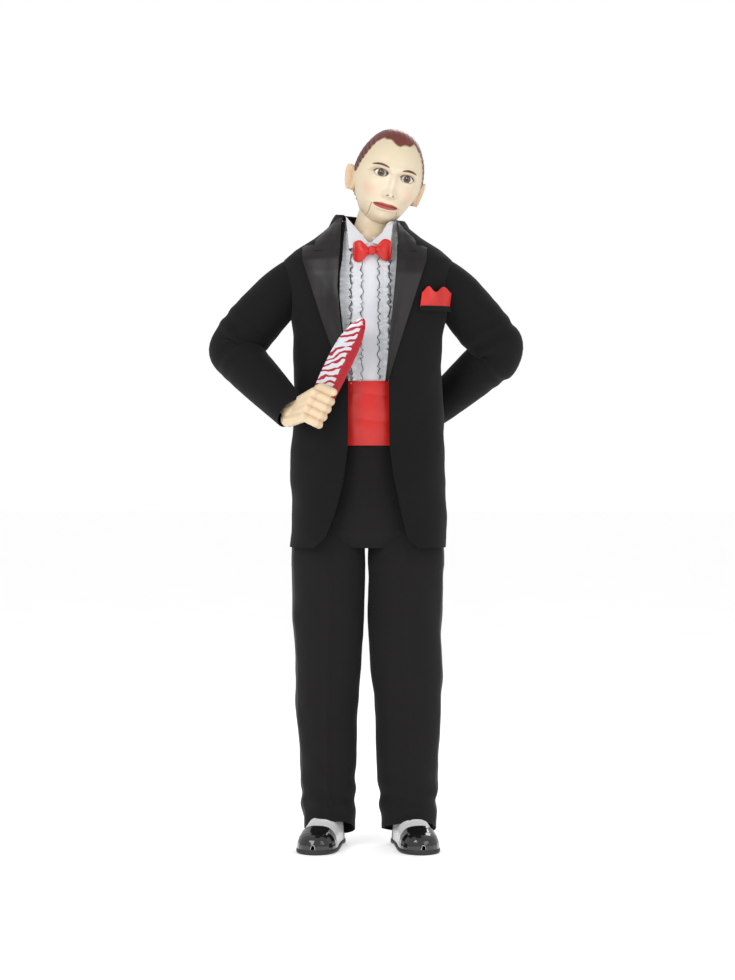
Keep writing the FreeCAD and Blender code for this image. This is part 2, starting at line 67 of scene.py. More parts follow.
# ---------------------------------------------------------------- materials
class Shader:
    """A node material with a Principled shader and a few short cuts."""

    def __init__(self, name):
        self.mat = bpy.data.materials.new(name)
        self.mat.use_nodes = True
        self.tree = self.mat.node_tree
        self.bsdf = self.tree.nodes["Principled BSDF"]
        self.place = self.node("ShaderNodeTexCoord").outputs["Object"]

    def node(self, kind, **settings):
        made = self.tree.nodes.new(kind)
        for key, value in settings.items():
            setattr(made, key, value)
        return made

    def link(self, source, target):
        self.tree.links.new(source, target)

    def texture(self, kind, mapped, values, **settings):
        """Texture over the object's own coordinates, stretched or turned by mapped."""
        mapping = self.node("ShaderNodeMapping")
        made = self.node(kind, **settings)
        for node, inputs in ((mapping, mapped), (made, values)):
            for key, value in inputs.items():
                node.inputs[key].default_value = value
        self.link(self.place, mapping.inputs["Vector"])
        self.link(mapping.outputs["Vector"], made.inputs["Vector"])
        return made.outputs["Fac"]

    def noise(self, scale, detail, stretch=(1, 1, 1)):
        return self.texture("ShaderNodeTexNoise", {"Scale": stretch},
                            {"Scale": scale, "Detail": detail})

    def wave(self, scale, turn=(0, 0, 0), distortion=0.0):
        return self.texture("ShaderNodeTexWave", {"Rotation": turn},
                            {"Scale": scale, "Distortion": distortion},
                            wave_type="BANDS", bands_direction="X")

    def math(self, operation, first, second):
        made = self.node("ShaderNodeMath", operation=operation)
        for socket, value in zip(made.inputs, (first, second)):
            if isinstance(value, (int, float)):
                socket.default_value = value
            else:
                self.link(value, socket)
        return made.outputs[0]

    def plus(self, first, second, share):
        """first and a share of second."""
        return self.math("ADD", first, self.math("MULTIPLY", second, share))

    def blend(self, first, share, second):
        """share of first, and second for the rest."""
        return self.plus(self.math("MULTIPLY", first, share), second, 1 - share)

    def ramp(self, factor, stops):
        made = self.node("ShaderNodeValToRGB")
        elements = made.color_ramp.elements
        while len(elements) < len(stops):
            elements.new(0.5)
        for element, (position, color) in zip(elements, stops):
            element.position = position
            element.color = (*color, 1.0)
        self.link(factor, made.inputs["Fac"])
        return made.outputs["Color"]

    def tint(self, factor, stops):
        self.link(self.ramp(factor, stops), self.bsdf.inputs["Base Color"])

    def mix(self, factor, first, second):
        made = self.node("ShaderNodeMix", data_type="RGBA", blend_type="MIX")
        for socket, value in ((made.inputs[0], factor), (made.inputs[6], first),
                              (made.inputs[7], second)):
            if isinstance(value, (int, float)):
                socket.default_value = value
            elif isinstance(value, tuple):
                socket.default_value = (*value, 1.0)
            else:
                self.link(value, socket)
        return made.outputs[2]

    def bump(self, height, depth, strength):
        made = self.node("ShaderNodeBump")
        made.inputs["Distance"].default_value = depth
        made.inputs["Strength"].default_value = strength
        self.link(height, made.inputs["Height"])
        self.link(made.outputs["Normal"], self.bsdf.inputs["Normal"])

    def axis(self, index):
        made = self.node("ShaderNodeSeparateXYZ")
        self.link(self.place, made.inputs["Vector"])
        return made.outputs[index]

    def roughness(self, source, low, high):
        made = self.node("ShaderNodeMapRange")
        made.inputs["To Min"].default_value = low
        made.inputs["To Max"].default_value = high
        self.link(source, made.inputs["Value"])
        self.link(made.outputs["Result"], self.bsdf.inputs["Roughness"])

    def constant(self, **values):
        for key, value in values.items():
            self.bsdf.inputs[key.replace("_", " ")].default_value = value


WAVE_LENGTH = 0.314  # a wave texture's scale times the distance between its bands
WORN = (0.45, 0.28, 0.14)


def cloth(name, color, light, rough=(0.75, 0.95), sheen=0.04, thread=0.0009, depth=0.00025):
    """Woven cloth: two crossed threads, slight fading, fibres in the bump."""
    shader = Shader(name)
    scale = WAVE_LENGTH / thread
    weave = shader.math("MULTIPLY", shader.wave(scale), shader.wave(scale, (0, math.pi / 2, 0)))
    fade = shader.noise(14, 5)
    fibre = shader.noise(900, 3)
    shader.tint(shader.blend(weave, 0.45, fade), [(0.1, color), (0.9, light)])
    shader.roughness(fade, *rough)
    shader.bump(shader.plus(weave, fibre, 0.5), depth, 0.6)
    shader.constant(Sheen_Weight=sheen, Specular_IOR_Level=0.2)
    return shader.mat


def satin(name, color, light, rough=(0.28, 0.42), depth=0.0006, sheen=0.03, shine=0.55):
    """Satin: fine ribs, soft puckers and a broad shine."""
    shader = Shader(name)
    ribs = shader.wave(900, (0, 0.4, 0.2))
    puckers = shader.noise(45, 4, (1, 1, 0.45))
    fine = shader.noise(1400, 2)
    shader.tint(shader.blend(ribs, 0.15, puckers), [(0.25, color), (0.75, light)])
    shader.roughness(puckers, *rough)
    shader.bump(shader.plus(puckers, fine, 0.04), depth, 0.8)
    shader.constant(Sheen_Weight=sheen, Specular_IOR_Level=shine)
    return shader.mat


def wood(name, dark, light, rough=(0.4, 0.6)):
    shader = Shader(name)
    rings = shader.wave(28, (0, 0.15, 0.3), 6.0)
    grain = shader.noise(120, 6, (1, 1, 0.06))
    shader.tint(shader.blend(rings, 0.4, grain), [(0.2, dark), (0.8, light)])
    shader.roughness(grain, *rough)
    shader.bump(grain, 0.0003, 0.5)
    return shader.mat


def metal(name, color, light, rough=(0.2, 0.4)):
    shader = Shader(name)
    brushed = shader.noise(260, 5, (1, 0.05, 1))
    shader.tint(brushed, [(0.2, color), (0.8, light)])
    shader.roughness(brushed, *rough)
    shader.bump(brushed, 0.0001, 0.3)
    shader.constant(Metallic=1.0)
    return shader.mat


def leather(name, color, light, rough, coat=0.0):
    shader = Shader(name)
    creases = shader.noise(260, 6)
    scuffs = shader.noise(30, 5)
    shader.tint(scuffs, [(0.3, color), (0.75, light)])
    shader.roughness(scuffs, *rough)
    shader.bump(creases, 0.00025, 0.35)
    shader.constant(Coat_Weight=coat, Coat_Roughness=0.06)
    return shader.mat


def painted(name, rough=(0.32, 0.5), wear=0.12):
    """Hand paint kept on the mesh as colour, painted shade and painted highlights included, with brush marks,
    grime and small wear.
    """
    shader = Shader(name)
    colour = shader.node("ShaderNodeVertexColor", layer_name="paint").outputs["Color"]
    brush = shader.noise(70, 5, (1, 1, 0.3))
    specks = shader.noise(600, 3)
    stained = shader.mix(shader.math("MULTIPLY", brush, wear), colour, WORN)
    chips = shader.ramp(specks, [(0.70, (0, 0, 0)), (0.78, (1, 1, 1))])
    shader.link(shader.mix(shader.math("MULTIPLY", chips, 0.25), stained, WORN),
                shader.bsdf.inputs["Base Color"])
    shader.roughness(brush, *rough)
    shader.bump(shader.plus(brush, specks, 0.2), 0.0003, 0.4)
    shader.constant(Coat_Weight=0.15, Coat_Roughness=0.25)
    return shader.mat


def blade_paint(name):
    """Silver-white toy blade, red along its edge and in slanting streaks."""
    shader = Shader(name)
    ragged = shader.noise(90, 3)
    slant = shader.wave(34, (0, 0, 0.95), 9.0)
    broken = shader.noise(60, 2, (0.5, 1.4, 1))
    streaks = shader.math("MULTIPLY", slant, shader.math("MULTIPLY", broken, 1.5))
    across = shader.plus(shader.axis(0), ragged, 0.012)
    edge = shader.math("MULTIPLY", shader.math("SUBTRACT", across, 0.0085), 120)
    reach = shader.math("MAXIMUM", streaks, edge)
    shader.tint(reach, [(0.46, (0.66, 0.67, 0.72)), (0.52, (0.40, 0.006, 0.016))])
    shader.roughness(ragged, 0.18, 0.35)
    shader.bump(reach, 0.0001, 0.3)
    shader.constant(Metallic=0.1)
    return shader.mat


MATS = {
    "jacket_cloth": cloth("jacket_twill", (0.0035, 0.0035, 0.004), (0.009, 0.009, 0.010)),
    "trouser_cloth": cloth("trouser_twill", (0.0075, 0.0068, 0.0068), (0.016, 0.0145, 0.0145)),
    "lapel_satin": satin("lapel_satin", (0.005, 0.0042, 0.0040), (0.015, 0.0122, 0.0110),
                         (0.32, 0.44), shine=0.34),
    "stripe_satin": satin("stripe_satin", (0.004, 0.004, 0.0045), (0.009, 0.009, 0.010),
                          (0.55, 0.7), 0.0012, 0.0),
    "red_satin": satin("red_satin", (0.50, 0.008, 0.005), (0.74, 0.016, 0.010)),
    "dark_red": satin("dark_red_satin", (0.16, 0.004, 0.006), (0.28, 0.01, 0.012)),
    "shirt_cloth": cloth("shirt_cloth", (0.72, 0.73, 0.77), (0.84, 0.85, 0.88), (0.45, 0.7),
                         0.05, 0.0006, 0.0001),
    "shirt_satin": satin("shirt_satin", (0.64, 0.65, 0.70), (0.80, 0.81, 0.85), (0.35, 0.5),
                         0.0004),
    "lace": cloth("lace", (0.70, 0.72, 0.76), (0.90, 0.91, 0.93), (0.6, 0.9), 0.05, 0.0022,
                  0.0006),
    "black_edge": cloth("black_edging", (0.008, 0.008, 0.010), (0.03, 0.03, 0.034)),
    "plain_wood": wood("plain_wood", (0.36, 0.21, 0.10), (0.60, 0.40, 0.22)),
    "body_shell": wood("body_shell", (0.30, 0.19, 0.10), (0.48, 0.34, 0.20), (0.5, 0.7)),
    "dark_wood": wood("dark_wood", (0.012, 0.007, 0.005), (0.05, 0.028, 0.018), (0.2, 0.35)),
    "steel": metal("steel", (0.45, 0.45, 0.46), (0.65, 0.65, 0.67)),
    "brass": metal("brass", (0.62, 0.42, 0.14), (0.80, 0.60, 0.26)),
    "shoe_white": leather("white_leather", (0.78, 0.78, 0.77), (0.90, 0.90, 0.89), (0.25, 0.4)),
    "shoe_black": leather("patent_leather", (0.004, 0.004, 0.005), (0.010, 0.010, 0.011),
                          (0.06, 0.14), 0.8),
    "sole_rubber": leather("sole_rubber", (0.010, 0.010, 0.010), (0.03, 0.03, 0.03), (0.5, 0.7)),
    "flesh_paint": painted("flesh_paint"),
    "toy_blade": blade_paint("toy_blade"),
}
MATS["hair_paint"] = MATS["flesh_paint"]
MATS["eye_paint"] = painted("eye_paint", (0.05, 0.12), 0.03)
CREAM = np.array((0.82, 0.70, 0.50))


# ---------------------------------------------------------------- mesh helpers
def smoothstep(low, high, value):
    t = np.clip((value - low) / (high - low), 0, 1)
    return t * t * (3 - 2 * t)


def powered(value, power):
    """Power of the size of a value, with the value's sign; rounds or squares a section."""
    return np.sign(value) * np.abs(value) ** power


def bell(value, middle, width):
    return np.exp(-((value - middle) / width) ** 2)


def mound(x, z, x0, z0, wide, tall):
    return np.exp(-((x - x0) / wide) ** 2 - ((z - z0) / tall) ** 2)


def rising(low, high, count):
    """Even steps down the rows of a grid."""
    return np.linspace(low, high, count)[:, None]


def sideways(low, high, count):
    """Even steps along the columns of a grid."""
    return np.linspace(low, high, count)[None, :]


def all_round(count):
    """Even angles once round, along the columns of a grid."""
    return np.linspace(0, TAU, count, endpoint=False)[None, :]


def table(value, rows, column=1):
    """Straight-line reading of a small table whose first column rises."""
    keys = [row[0] for row in rows]
    return np.interp(value, keys, [row[column] for row in rows])


def mesh_object(name, verts, faces, *materials, face_slots=None):
    data = bpy.data.meshes.new(name)
    data.from_pydata(np.asarray(verts).reshape(-1, 3).tolist(), [], faces)
    for material in materials:
        data.materials.append(MATS[material])
    data.polygons.foreach_set("use_smooth", [True] * len(data.polygons))
    if face_slots is not None:
        data.polygons.foreach_set("material_index", face_slots)
    data.update()
    obj = bpy.data.objects.new(name, data)
    bpy.context.scene.collection.objects.link(obj)
    return obj


def grid_faces(rows, cols, loop=False, keep=None):
    faces = []
    for i in range(rows - 1):
        for j in range(cols if loop else cols - 1):
            if keep is None or keep(i, j):
                k = (j + 1) % cols
                faces.append((i * cols + j, i * cols + k, (i + 1) * cols + k, (i + 1) * cols + j))
    return faces


def stacked(x, y, z):
    """Grid of points from three arrays of coordinates."""
    return np.stack(np.broadcast_arrays(x, y, z), -1)


def sheet(name, points, material, loop=False):
    """Surface through a grid of points; loop joins its last column to its first."""
    return mesh_object(name, points, grid_faces(*points.shape[:2], loop), material)


def finalise(obj, thickness=0.0, levels=0):
    """Gives cloth its thickness, against its normals, and its smoothness as real mesh."""
    if thickness:
        solid = obj.modifiers.new("thickness", "SOLIDIFY")
        solid.thickness = thickness
        solid.offset = -1.0
    if levels:
        subdivision = obj.modifiers.new("smooth", "SUBSURF")
        subdivision.levels = subdivision.render_levels = levels
    return apply_modifiers(obj)


def apply_modifiers(obj):
    bpy.context.view_layer.update()
    evaluated = obj.evaluated_get(bpy.context.evaluated_depsgraph_get())
    made = bpy.data.meshes.new_from_object(evaluated)
    obj.modifiers.clear()
    obj.data = made
    made.set_sharp_from_angle(angle=math.radians(50))
    return obj


def folds(s, theta, seed, count):
    """Repeatable drapery: slanting creases over length s (metres) and angle theta."""
    rng = np.random.default_rng(seed)
    total = np.zeros(np.broadcast(s, theta).shape)
    for _ in range(count):
        around = rng.integers(1, 4)
        along = rng.uniform(15, 60) * rng.choice((-1, 1))
        phase = rng.uniform(0, TAU)
        wave = np.sin(around * theta + along * s + phase)
        total = total + powered(wave, 1.5)
    return total / count


def paint(obj, colours):
    """Stores one colour for each vertex as the mesh's paint, which also carries painted shade and painted
    highlights.
    """
    layer = obj.data.color_attributes.new("paint", "FLOAT_COLOR", "POINT")
    flat = np.ones((len(obj.data.vertices), 4))
    flat[:, :3] = colours
    layer.data.foreach_set("color", flat.ravel())


def positions(obj):
    co = np.zeros(len(obj.data.vertices) * 3)
    obj.data.vertices.foreach_get("co", co)
    return co.reshape(-1, 3)


# ---------------------------------------------------------------- jacket
JACKET = [  # height, half width, front depth, back depth, right edge x, left edge x
    (0.446, 0.114, 0.086, 0.088, -0.082, 0.076), (0.462, 0.115, 0.085, 0.088, -0.062, 0.059),
    (0.500, 0.115, 0.083, 0.087, -0.047, 0.048), (0.545, 0.114, 0.080, 0.085, -0.036, 0.038),
    (0.600, 0.111, 0.077, 0.080, -0.030, 0.032), (0.690, 0.108, 0.076, 0.074, -0.029, 0.030),
    (0.760, 0.110, 0.078, 0.076, -0.036, 0.036), (0.815, 0.117, 0.078, 0.078, -0.042, 0.042),
    (0.850, 0.124, 0.072, 0.076, -0.041, 0.045), (0.872, 0.124, 0.064, 0.070, -0.038, 0.046),
    (0.888, 0.106, 0.056, 0.062, -0.037, 0.046), (0.904, 0.080, 0.050, 0.056, -0.036, 0.046),
    (0.918, 0.062, 0.047, 0.052, -0.034, 0.045), (0.928, 0.052, 0.046, 0.050, -0.033, 0.044)]
BACK_SLIT = (0.645, 0.770)
SQUARE = 0.84  # rounds a section out towards a box, as a tailored coat does


def jacket_rings(low, high, rows, cols):
    """Rings from the right front edge round the back to the left front edge."""
    z = rising(low, high, rows)
    half, front, back, right, left = (table(z, JACKET, c) for c in range(1, 6))
    start = np.arcsin(np.clip(-right / half, 0, 1) ** (1 / SQUARE))
    end = np.arcsin(np.clip(left / half, 0, 1) ** (1 / SQUARE))
    t = sideways(0, 1, cols)
    angle = start + (TAU - start - end) * t
    wave = folds(z, angle, 11, 9) * 0.0045 + folds(z * 2.2, angle * 2, 12, 6) * 0.0022
    wave = wave * smoothstep(0.92, 0.80, z)
    depth = np.where(np.cos(angle) > 0, front, back)
    x = CX - (half + wave) * powered(np.sin(angle), SQUARE)
    y = CY - (depth + wave) * powered(np.cos(angle), SQUARE)
    return stacked(x, y, z)


def hang(obj, *bodies, start=None, end=None, slot=None, replaces=()):
    """Rides on one body; given two, its place is only baked into its mesh."""
    if len(bodies) == 1:
        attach(obj, bodies[0])
    else:
        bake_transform(obj)
    if replaces:
        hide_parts(*replaces)
    return obj


SKIRT_TOP, COAT_THICK = 0.545, 0.0022
rows, cols = 84, 150
rings = jacket_rings(SKIRT_TOP, JACKET[-1][0], rows, cols)
middle = cols // 2


def outside_slit(i, j):
    return not (BACK_SLIT[0] < rings[i, j, 2] < BACK_SLIT[1] and abs(j - middle) <= 2)


jacket = mesh_object("jacket_body_cloth", rings, grid_faces(rows, cols, keep=outside_slit),
                     "jacket_cloth")
hang(finalise(jacket, COAT_THICK), "torso", slot="jacket_cloth", replaces=["jacket_body"])
skirt = jacket_rings(JACKET[0][0], SKIRT_TOP, 22, cols)
for name, sign in SIDES:
    half = skirt[:, :middle + 1] if sign < 0 else skirt[:, middle:]
    piece = sheet("jacket_skirt_" + name, half, "jacket_cloth")
    hip = pivot("hip_" + name)
    hang(finalise(piece, COAT_THICK), "torso", "thigh_" + name, start=(hip.x, hip.y, 0.552),
         end=(hip.x, hip.y, 0.40), slot="jacket_cloth")


def on_jacket(x, z, lift, wider=0.0):
    """Depth of the jacket's front at a given x and height, standing proud by lift."""
    half, front = table(z, JACKET, 1) + wider, table(z, JACKET, 2)
    across = np.clip(np.abs(x - CX) / half, 0, 0.985)
    return CY - (front + lift) * (1 - across ** (2 / SQUARE)) ** (SQUARE / 2)


LAPEL = {  # height, inner x, outer x
    "right": [(0.690, -0.028, -0.031), (0.730, -0.031, -0.046), (0.780, -0.038, -0.064),
              (0.830, -0.042, -0.080), (0.870, -0.040, -0.093), (0.893, -0.038, -0.094)],
    "left": [(0.690, 0.029, 0.032), (0.730, 0.032, 0.044), (0.780, 0.037, 0.060),
             (0.830, 0.042, 0.076), (0.870, 0.045, 0.089), (0.893, 0.046, 0.090)]}
COLLAR = {
    "right": [(0.884, -0.039, -0.077), (0.900, -0.038, -0.074), (0.918, -0.037, -0.060),
              (0.928, -0.036, -0.049), (0.934, -0.035, -0.041)],
    "left": [(0.884, 0.047, 0.076), (0.898, 0.047, 0.074), (0.912, 0.047, 0.066),
             (0.924, 0.047, 0.056), (0.931, 0.046, 0.049)]}


def lapel_strip(name, rows_table, lift, count):
    z = rising(rows_table[0][0], rows_table[-1][0], count)
    u = sideways(0, 1, 22)
    inner, outer = table(z, rows_table, 1), table(z, rows_table, 2)
    x = inner + (outer - inner) * u
    roll = 0.0040 * bell(u, 0, 0.30) + 0.0012 * folds(z * 1.6, u * 3, 21, 6)
    y = on_jacket(x, z, lift + roll)
    return finalise(sheet(name, stacked(x, y, z), "lapel_satin"), 0.0018)


for name, sign in SIDES:
    lapel = lapel_strip("lapel_" + name, LAPEL[name], 0.0062, 60)
    hang(lapel, "torso", slot="lapel_satin", replaces=["jacket_lapels"])
    collar = lapel_strip("lapel_collar_" + name, COLLAR[name], 0.0070, 24)
    hang(collar, "torso", slot="lapel_satin")

# collar fold round the back of the neck
t = sideways(0, 1, 70)
v = rising(0, 1, 16)
angle = 0.86 + (TAU - 1.86) * t
flare = 0.048 + 0.015 * v + 0.002 * np.abs(np.sin(angle))
lift_right = 0.005 * np.sin(angle)
z = 0.938 - 0.030 * v ** 1.3 + lift_right + 0.004 * np.cos(angle + math.pi)
x, y = CX + 0.003 - flare * np.sin(angle) * 1.03, CY - flare * np.cos(angle) * 0.98 + 0.001
back = sheet("collar_fold", stacked(x, y, z), "jacket_cloth")
hang(finalise(back, 0.0025), "torso", slot="jacket_cloth")

# ---------------------------------------------------------------- shirt, tie, cummerbund
SHIRT_X = CX + 0.003  # the middle of the shirt lies a little to the figure's left
SHIRT = [(0.580, 0.074, 0.050), (0.690, 0.080, 0.058), (0.760, 0.086, 0.060), (0.810, 0.092, 0.061),
         (0.850, 0.088, 0.057), (0.880, 0.070, 0.051), (0.905, 0.054, 0.045), (0.932, 0.048, 0.042)]


def on_shirt(x, z, lift):
    across = np.clip((x - CX) / (table(z, SHIRT, 1) + lift), -0.99, 0.99)
    return CY - (table(z, SHIRT, 2) + lift) * np.sqrt(1 - across ** 2)


def shirt_panel(name, half, low, high, lift, material, cols, dip=0.0):
    """Curved cloth over the chest; dip lowers the middle of its top edge for the collar."""
    up = rising(0, 1, 90)
    wider = 1 + 0.12 * smoothstep(0.900, 0.860, low + (high - low) * up)
    x = SHIRT_X + sideways(-half, half, cols) * wider
    top = high - dip * smoothstep(0.034, 0.008, np.abs(x - CX))
    z = low + (top - low) * up
    y = on_shirt(x, z, lift + 0.0006 * folds(z * 3, x * 60, 31, 6))
    return sheet(name, stacked(x, y, z), material)


shirt = shirt_panel("shirt_front_cloth", 0.046, 0.680, 0.930, 0.001, "shirt_cloth", 40, 0.036)
hang(finalise(shirt, 0.0012), "torso", slot="shirt_cloth", replaces=["shirt_front"])
placket = shirt_panel("shirt_placket", 0.012, 0.682, 0.897, 0.0030, "shirt_satin", 16)
hang(finalise(placket, 0.001), "torso", slot="shirt_cloth")
RUFFLE_FOOT, RUFFLE_LIFT, CRIMP = 0.688, 0.0035, 0.0032


def gather(z, x0):
    """Sideways wander and forward fold of a gathered edge at height z."""
    turn = z * TAU / 0.0098 + 2.1 * np.sin(z * 170 + x0 * 900)
    wander = 0.0014 * np.sin(turn * 0.7 + x0 * 300) + 0.0008 * np.sin(turn * 1.3 + x0 * 500)
    return wander, 0.55 + 0.45 * np.sin(turn + x0 * 140)


def ruffle(name, inner, outer, high):
    """Gathered lace band that runs down the shirt in small waves."""
    z = rising(RUFFLE_FOOT, high, 260)
    u = sideways(0, 1, 12)
    near, far = gather(z, inner), gather(z, outer)
    shift = near[0] * (1 - u) + far[0] * u
    fold = near[1] * (1 - u) + far[1] * u
    edge = np.abs(2 * u - 1) ** 1.4
    x = SHIRT_X + inner + (outer - inner) * u + shift * edge
    y = on_shirt(x, z, RUFFLE_LIFT + CRIMP * (0.25 + 0.75 * edge) * fold)
    return sheet(name, stacked(x, y, z), "lace")


def edging(name, x0, high):
    """Fine black cord sewn along a ruffle's edge."""
    z = rising(RUFFLE_FOOT + 0.006, high, 340)
    ring = all_round(6)
    shift, fold = gather(z, x0)
    x = SHIRT_X + x0 + shift
    y = on_shirt(x, z, RUFFLE_LIFT + CRIMP * fold + 0.0004)
    points = stacked(x + 0.00055 * np.cos(ring), y + 0.0005 * np.sin(ring), z)
    return sheet(name, points, "black_edge", True)


for name, sign in SIDES:
    edge = 0.0460 if sign < 0 else 0.0435
    for tag, inner, outer, high in (("inner", 0.0125, 0.0268, 0.896),
                                    ("outer", 0.0290, edge, 0.914)):
        label = "%s_%s" % (tag, name)
        band = ruffle("ruffle_" + label, sign * inner, sign * outer, high)
        hang(finalise(band, 0.0007), "torso", slot="shirt_cloth")
        cord = edging("ruffle_edge_" + label, sign * inner, high)
        hang(cord, "torso", slot="jacket_cloth")

# standing collar with two wing points
BAND_RADIUS, BAND_FOOT, WING_GRID = 0.0405, 0.886, np.linspace(0, 1, 12)
tilt = JOINTS["head_turn"]["axis"]
angle = sideways(0.16, TAU - 0.16, 90)
v = rising(0, 1, 14)
x, y = CX - BAND_RADIUS * np.sin(angle), CY - BAND_RADIUS * np.cos(angle)
top = 0.925 - (x - CX) * tilt[0] / tilt[2] - 0.018 * np.cos(angle) ** 2 * (np.cos(angle) > 0)
ring = sheet("shirt_collar_band", stacked(x, y, BAND_FOOT + (top - BAND_FOOT) * v), "shirt_cloth")
hang(finalise(ring, 0.0016), "torso", slot="shirt_cloth", replaces=["shirt_collar"])
for name, sign in SIDES:
    u, v = np.meshgrid(WING_GRID, WING_GRID)
    first = np.array((SHIRT_X + sign * 0.002, CY - 0.0500, 0.896))
    second = np.array((CX + 0.002 + sign * 0.035, CY - 0.0310, 0.932 - sign * 0.005))
    third = np.array((CX + 0.002 + sign * 0.030, CY - 0.0590, 0.887))
    edge = first + (second - first) * u[..., None]
    points = edge + (third - edge) * (v[..., None] * 0.98)
    points[..., 1] -= 0.002 * np.sin(v * math.pi)
    wing = sheet("collar_wing_" + name, points, "shirt_cloth")
    hang(finalise(wing, 0.0012), "torso", slot="shirt_cloth")

# bow tie: two gathered wings, a knot and the band round the collar
TIE = Vector((CX + 0.006, CY - 0.0610, 0.884))
for name, sign in SIDES:
    u = rising(0, 1, 30)
    a = all_round(36)
    spread = 0.0040 + 0.0120 * smoothstep(0.02, 0.62, u) - 0.0025 * smoothstep(0.7, 1.0, u)
    puff = 0.0026 + 0.0048 * np.sin(np.clip(u * 1.15, 0, 1) * math.pi) ** 0.8
    close = np.sqrt(np.clip(1 - ((u - 0.5) / 0.5) ** 16, 0.0, 1))
    pleat = 1 + 0.16 * np.sin(a * 5) * (1 - u) ** 1.2
    x = TIE.x + sign * (0.002 + 0.027 * u) + 0 * a
    y = TIE.y - puff * np.sin(a) * close * pleat + 0.0035 * u
    z = TIE.z + spread * np.cos(a) * close * pleat + sign * 0.001
    faces = grid_faces(30, 36, True) + [tuple(range(36)), tuple(range(29 * 36, 30 * 36))]
    wing = mesh_object("bow_wing_" + name, stacked(x, y, z), faces, "red_satin")
    hang(finalise(wing, 0, 1), "torso", slot="red_satin", replaces=["bow_tie"])


# the knot, a rounded and slightly rippled block
KNOT = 0.7
el = rising(-math.pi / 2, math.pi / 2, 20)
az = all_round(28)
ripple = 1 + 0.05 * np.sin(az * 4 + el * 3)
level = powered(np.cos(el), KNOT)
x = TIE.x + 0.0058 * level * powered(np.cos(az), KNOT) * ripple
y = TIE.y - 0.002 + 0.0055 * level * powered(np.sin(az), KNOT) * ripple
z = TIE.z + 0.0068 * powered(np.sin(el), KNOT) * ripple
knot = sheet("bow_knot", stacked(x, y, z), "red_satin", True)
hang(knot, "torso", slot="red_satin")
v = rising(0, 1, 6)
z = 0.884 + 0.010 * v + 0.034 * (0.5 - 0.5 * np.cos(angle)) ** 0.6
radius = 0.0450 + 0.0008 * np.sin(v * math.pi)
band = sheet("tie_band", stacked(CX - radius * np.sin(angle), CY - radius * np.cos(angle), z),
             "dark_red")
hang(finalise(band, 0.0012), "torso", slot="red_satin")

# cummerbund: soft horizontal pleats
SASH_FOOT, SASH_TOP = 0.597, 0.692
z = rising(SASH_FOOT, SASH_TOP, 70)
angle = sideways(-1.35, 1.35, 90)
level = (z - SASH_FOOT) / (SASH_TOP - SASH_FOOT)
pleat = 0.0022 * np.abs(np.sin(level * math.pi * 2.5 + 0.35 * np.sin(angle * 3))) ** 0.7
swell = 0.004 * np.sin(level * math.pi) + 0.0010 * folds(z * 2, angle * 2, 41, 6)
proud = 0.004 + swell + pleat
x = CX + (table(z, SHIRT, 1) + proud) * np.sin(angle)
y = CY - (table(z, SHIRT, 2) + proud) * np.cos(angle)
sash = sheet("cummerbund_satin", stacked(x, y, z), "red_satin")
hang(finalise(sash, 0.0018), "torso", slot="red_satin", replaces=["cummerbund"])

# pocket square: two soft peaks over the pocket's welt
CHEST_WIDER = 0.014  # added to the coat's half width, so that the pocket lies flatter
u, v = np.meshgrid(np.linspace(0, 1, 60), np.linspace(0, 1, 36))
peaks = 0.020 + 0.011 * (bell(u, 0.22, 0.16) + bell(u, 0.74, 0.20))
x = 0.0810 + 0.0440 * u + 0.003 * (v - 0.5)
z = 0.800 + peaks * v
crumple = 0.0016 * np.sin(u * 11 + v * 2) * v + 0.0012 * folds(v * 0.06, u * 5, 51, 6)
y = on_jacket(x, z, 0.0050 + 0.002 * v + crumple, CHEST_WIDER)
square = sheet("pocket_square_cloth", stacked(x, y, z), "red_satin")
hang(finalise(square, 0.0014), "torso", slot="red_satin", replaces=["pocket_square"])
u, v = np.meshgrid(np.linspace(0, 1, 30), np.linspace(0, 1, 6))
x, z = 0.0805 + 0.045 * u, 0.794 + 0.008 * v + 0.001 * u
y = on_jacket(x, z, 0.0065 + 0.0012 * np.sin(v * math.pi), CHEST_WIDER)
welt = sheet("pocket_welt", stacked(x, y, z), "jacket_cloth")
hang(finalise(welt, 0.0015), "torso", slot="jacket_cloth")

# ---------------------------------------------------------------- sleeves
FORE_AIM = {"right": Vector((90, -80, -94)).normalized(),
            "left": Vector((-105, 72, -90)).normalized()}
FOREARM = 0.157


def smooth_line(points, count):
    """Smooth line through a polyline's middle, by repeated corner cutting."""
    line = [Vector(p) for p in points]
    for _ in range(4):
        cut = [line[0]]
        for a, b in zip(line, line[1:]):
            cut += [a.lerp(b, 0.25), a.lerp(b, 0.75)]
        line = cut + [line[-1]]
    length = [0.0]
    for a, b in zip(line, line[1:]):
        length.append(length[-1] + (b - a).length)
    even = np.linspace(0, length[-1], count)
    coords = np.array([tuple(p) for p in line])
    return np.stack([np.interp(even, length, coords[:, k]) for k in range(3)], -1), even


def swept(path, radii, around, ripple=None, up=(0, 0, 1)):
    """Rings round a path with a steady frame. radii is one per path point."""
    path = np.asarray(path)
    ahead = np.gradient(path, axis=0)
    ahead /= np.linalg.norm(ahead, axis=1)[:, None]
    side = np.array(up, float)
    rings = np.zeros((len(path), around, 3))
    angle = np.linspace(0, TAU, around, endpoint=False)
    for i, (point, tangent) in enumerate(zip(path, ahead)):
        side = side - tangent * side.dot(tangent)
        side /= np.linalg.norm(side)
        other = np.cross(tangent, side)
        r = radii[i] * (1 + (ripple[i] if ripple is not None else 0 * angle))
        rings[i] = point + (r * np.cos(angle))[:, None] * side \
            + (r * np.sin(angle))[:, None] * other
    return rings


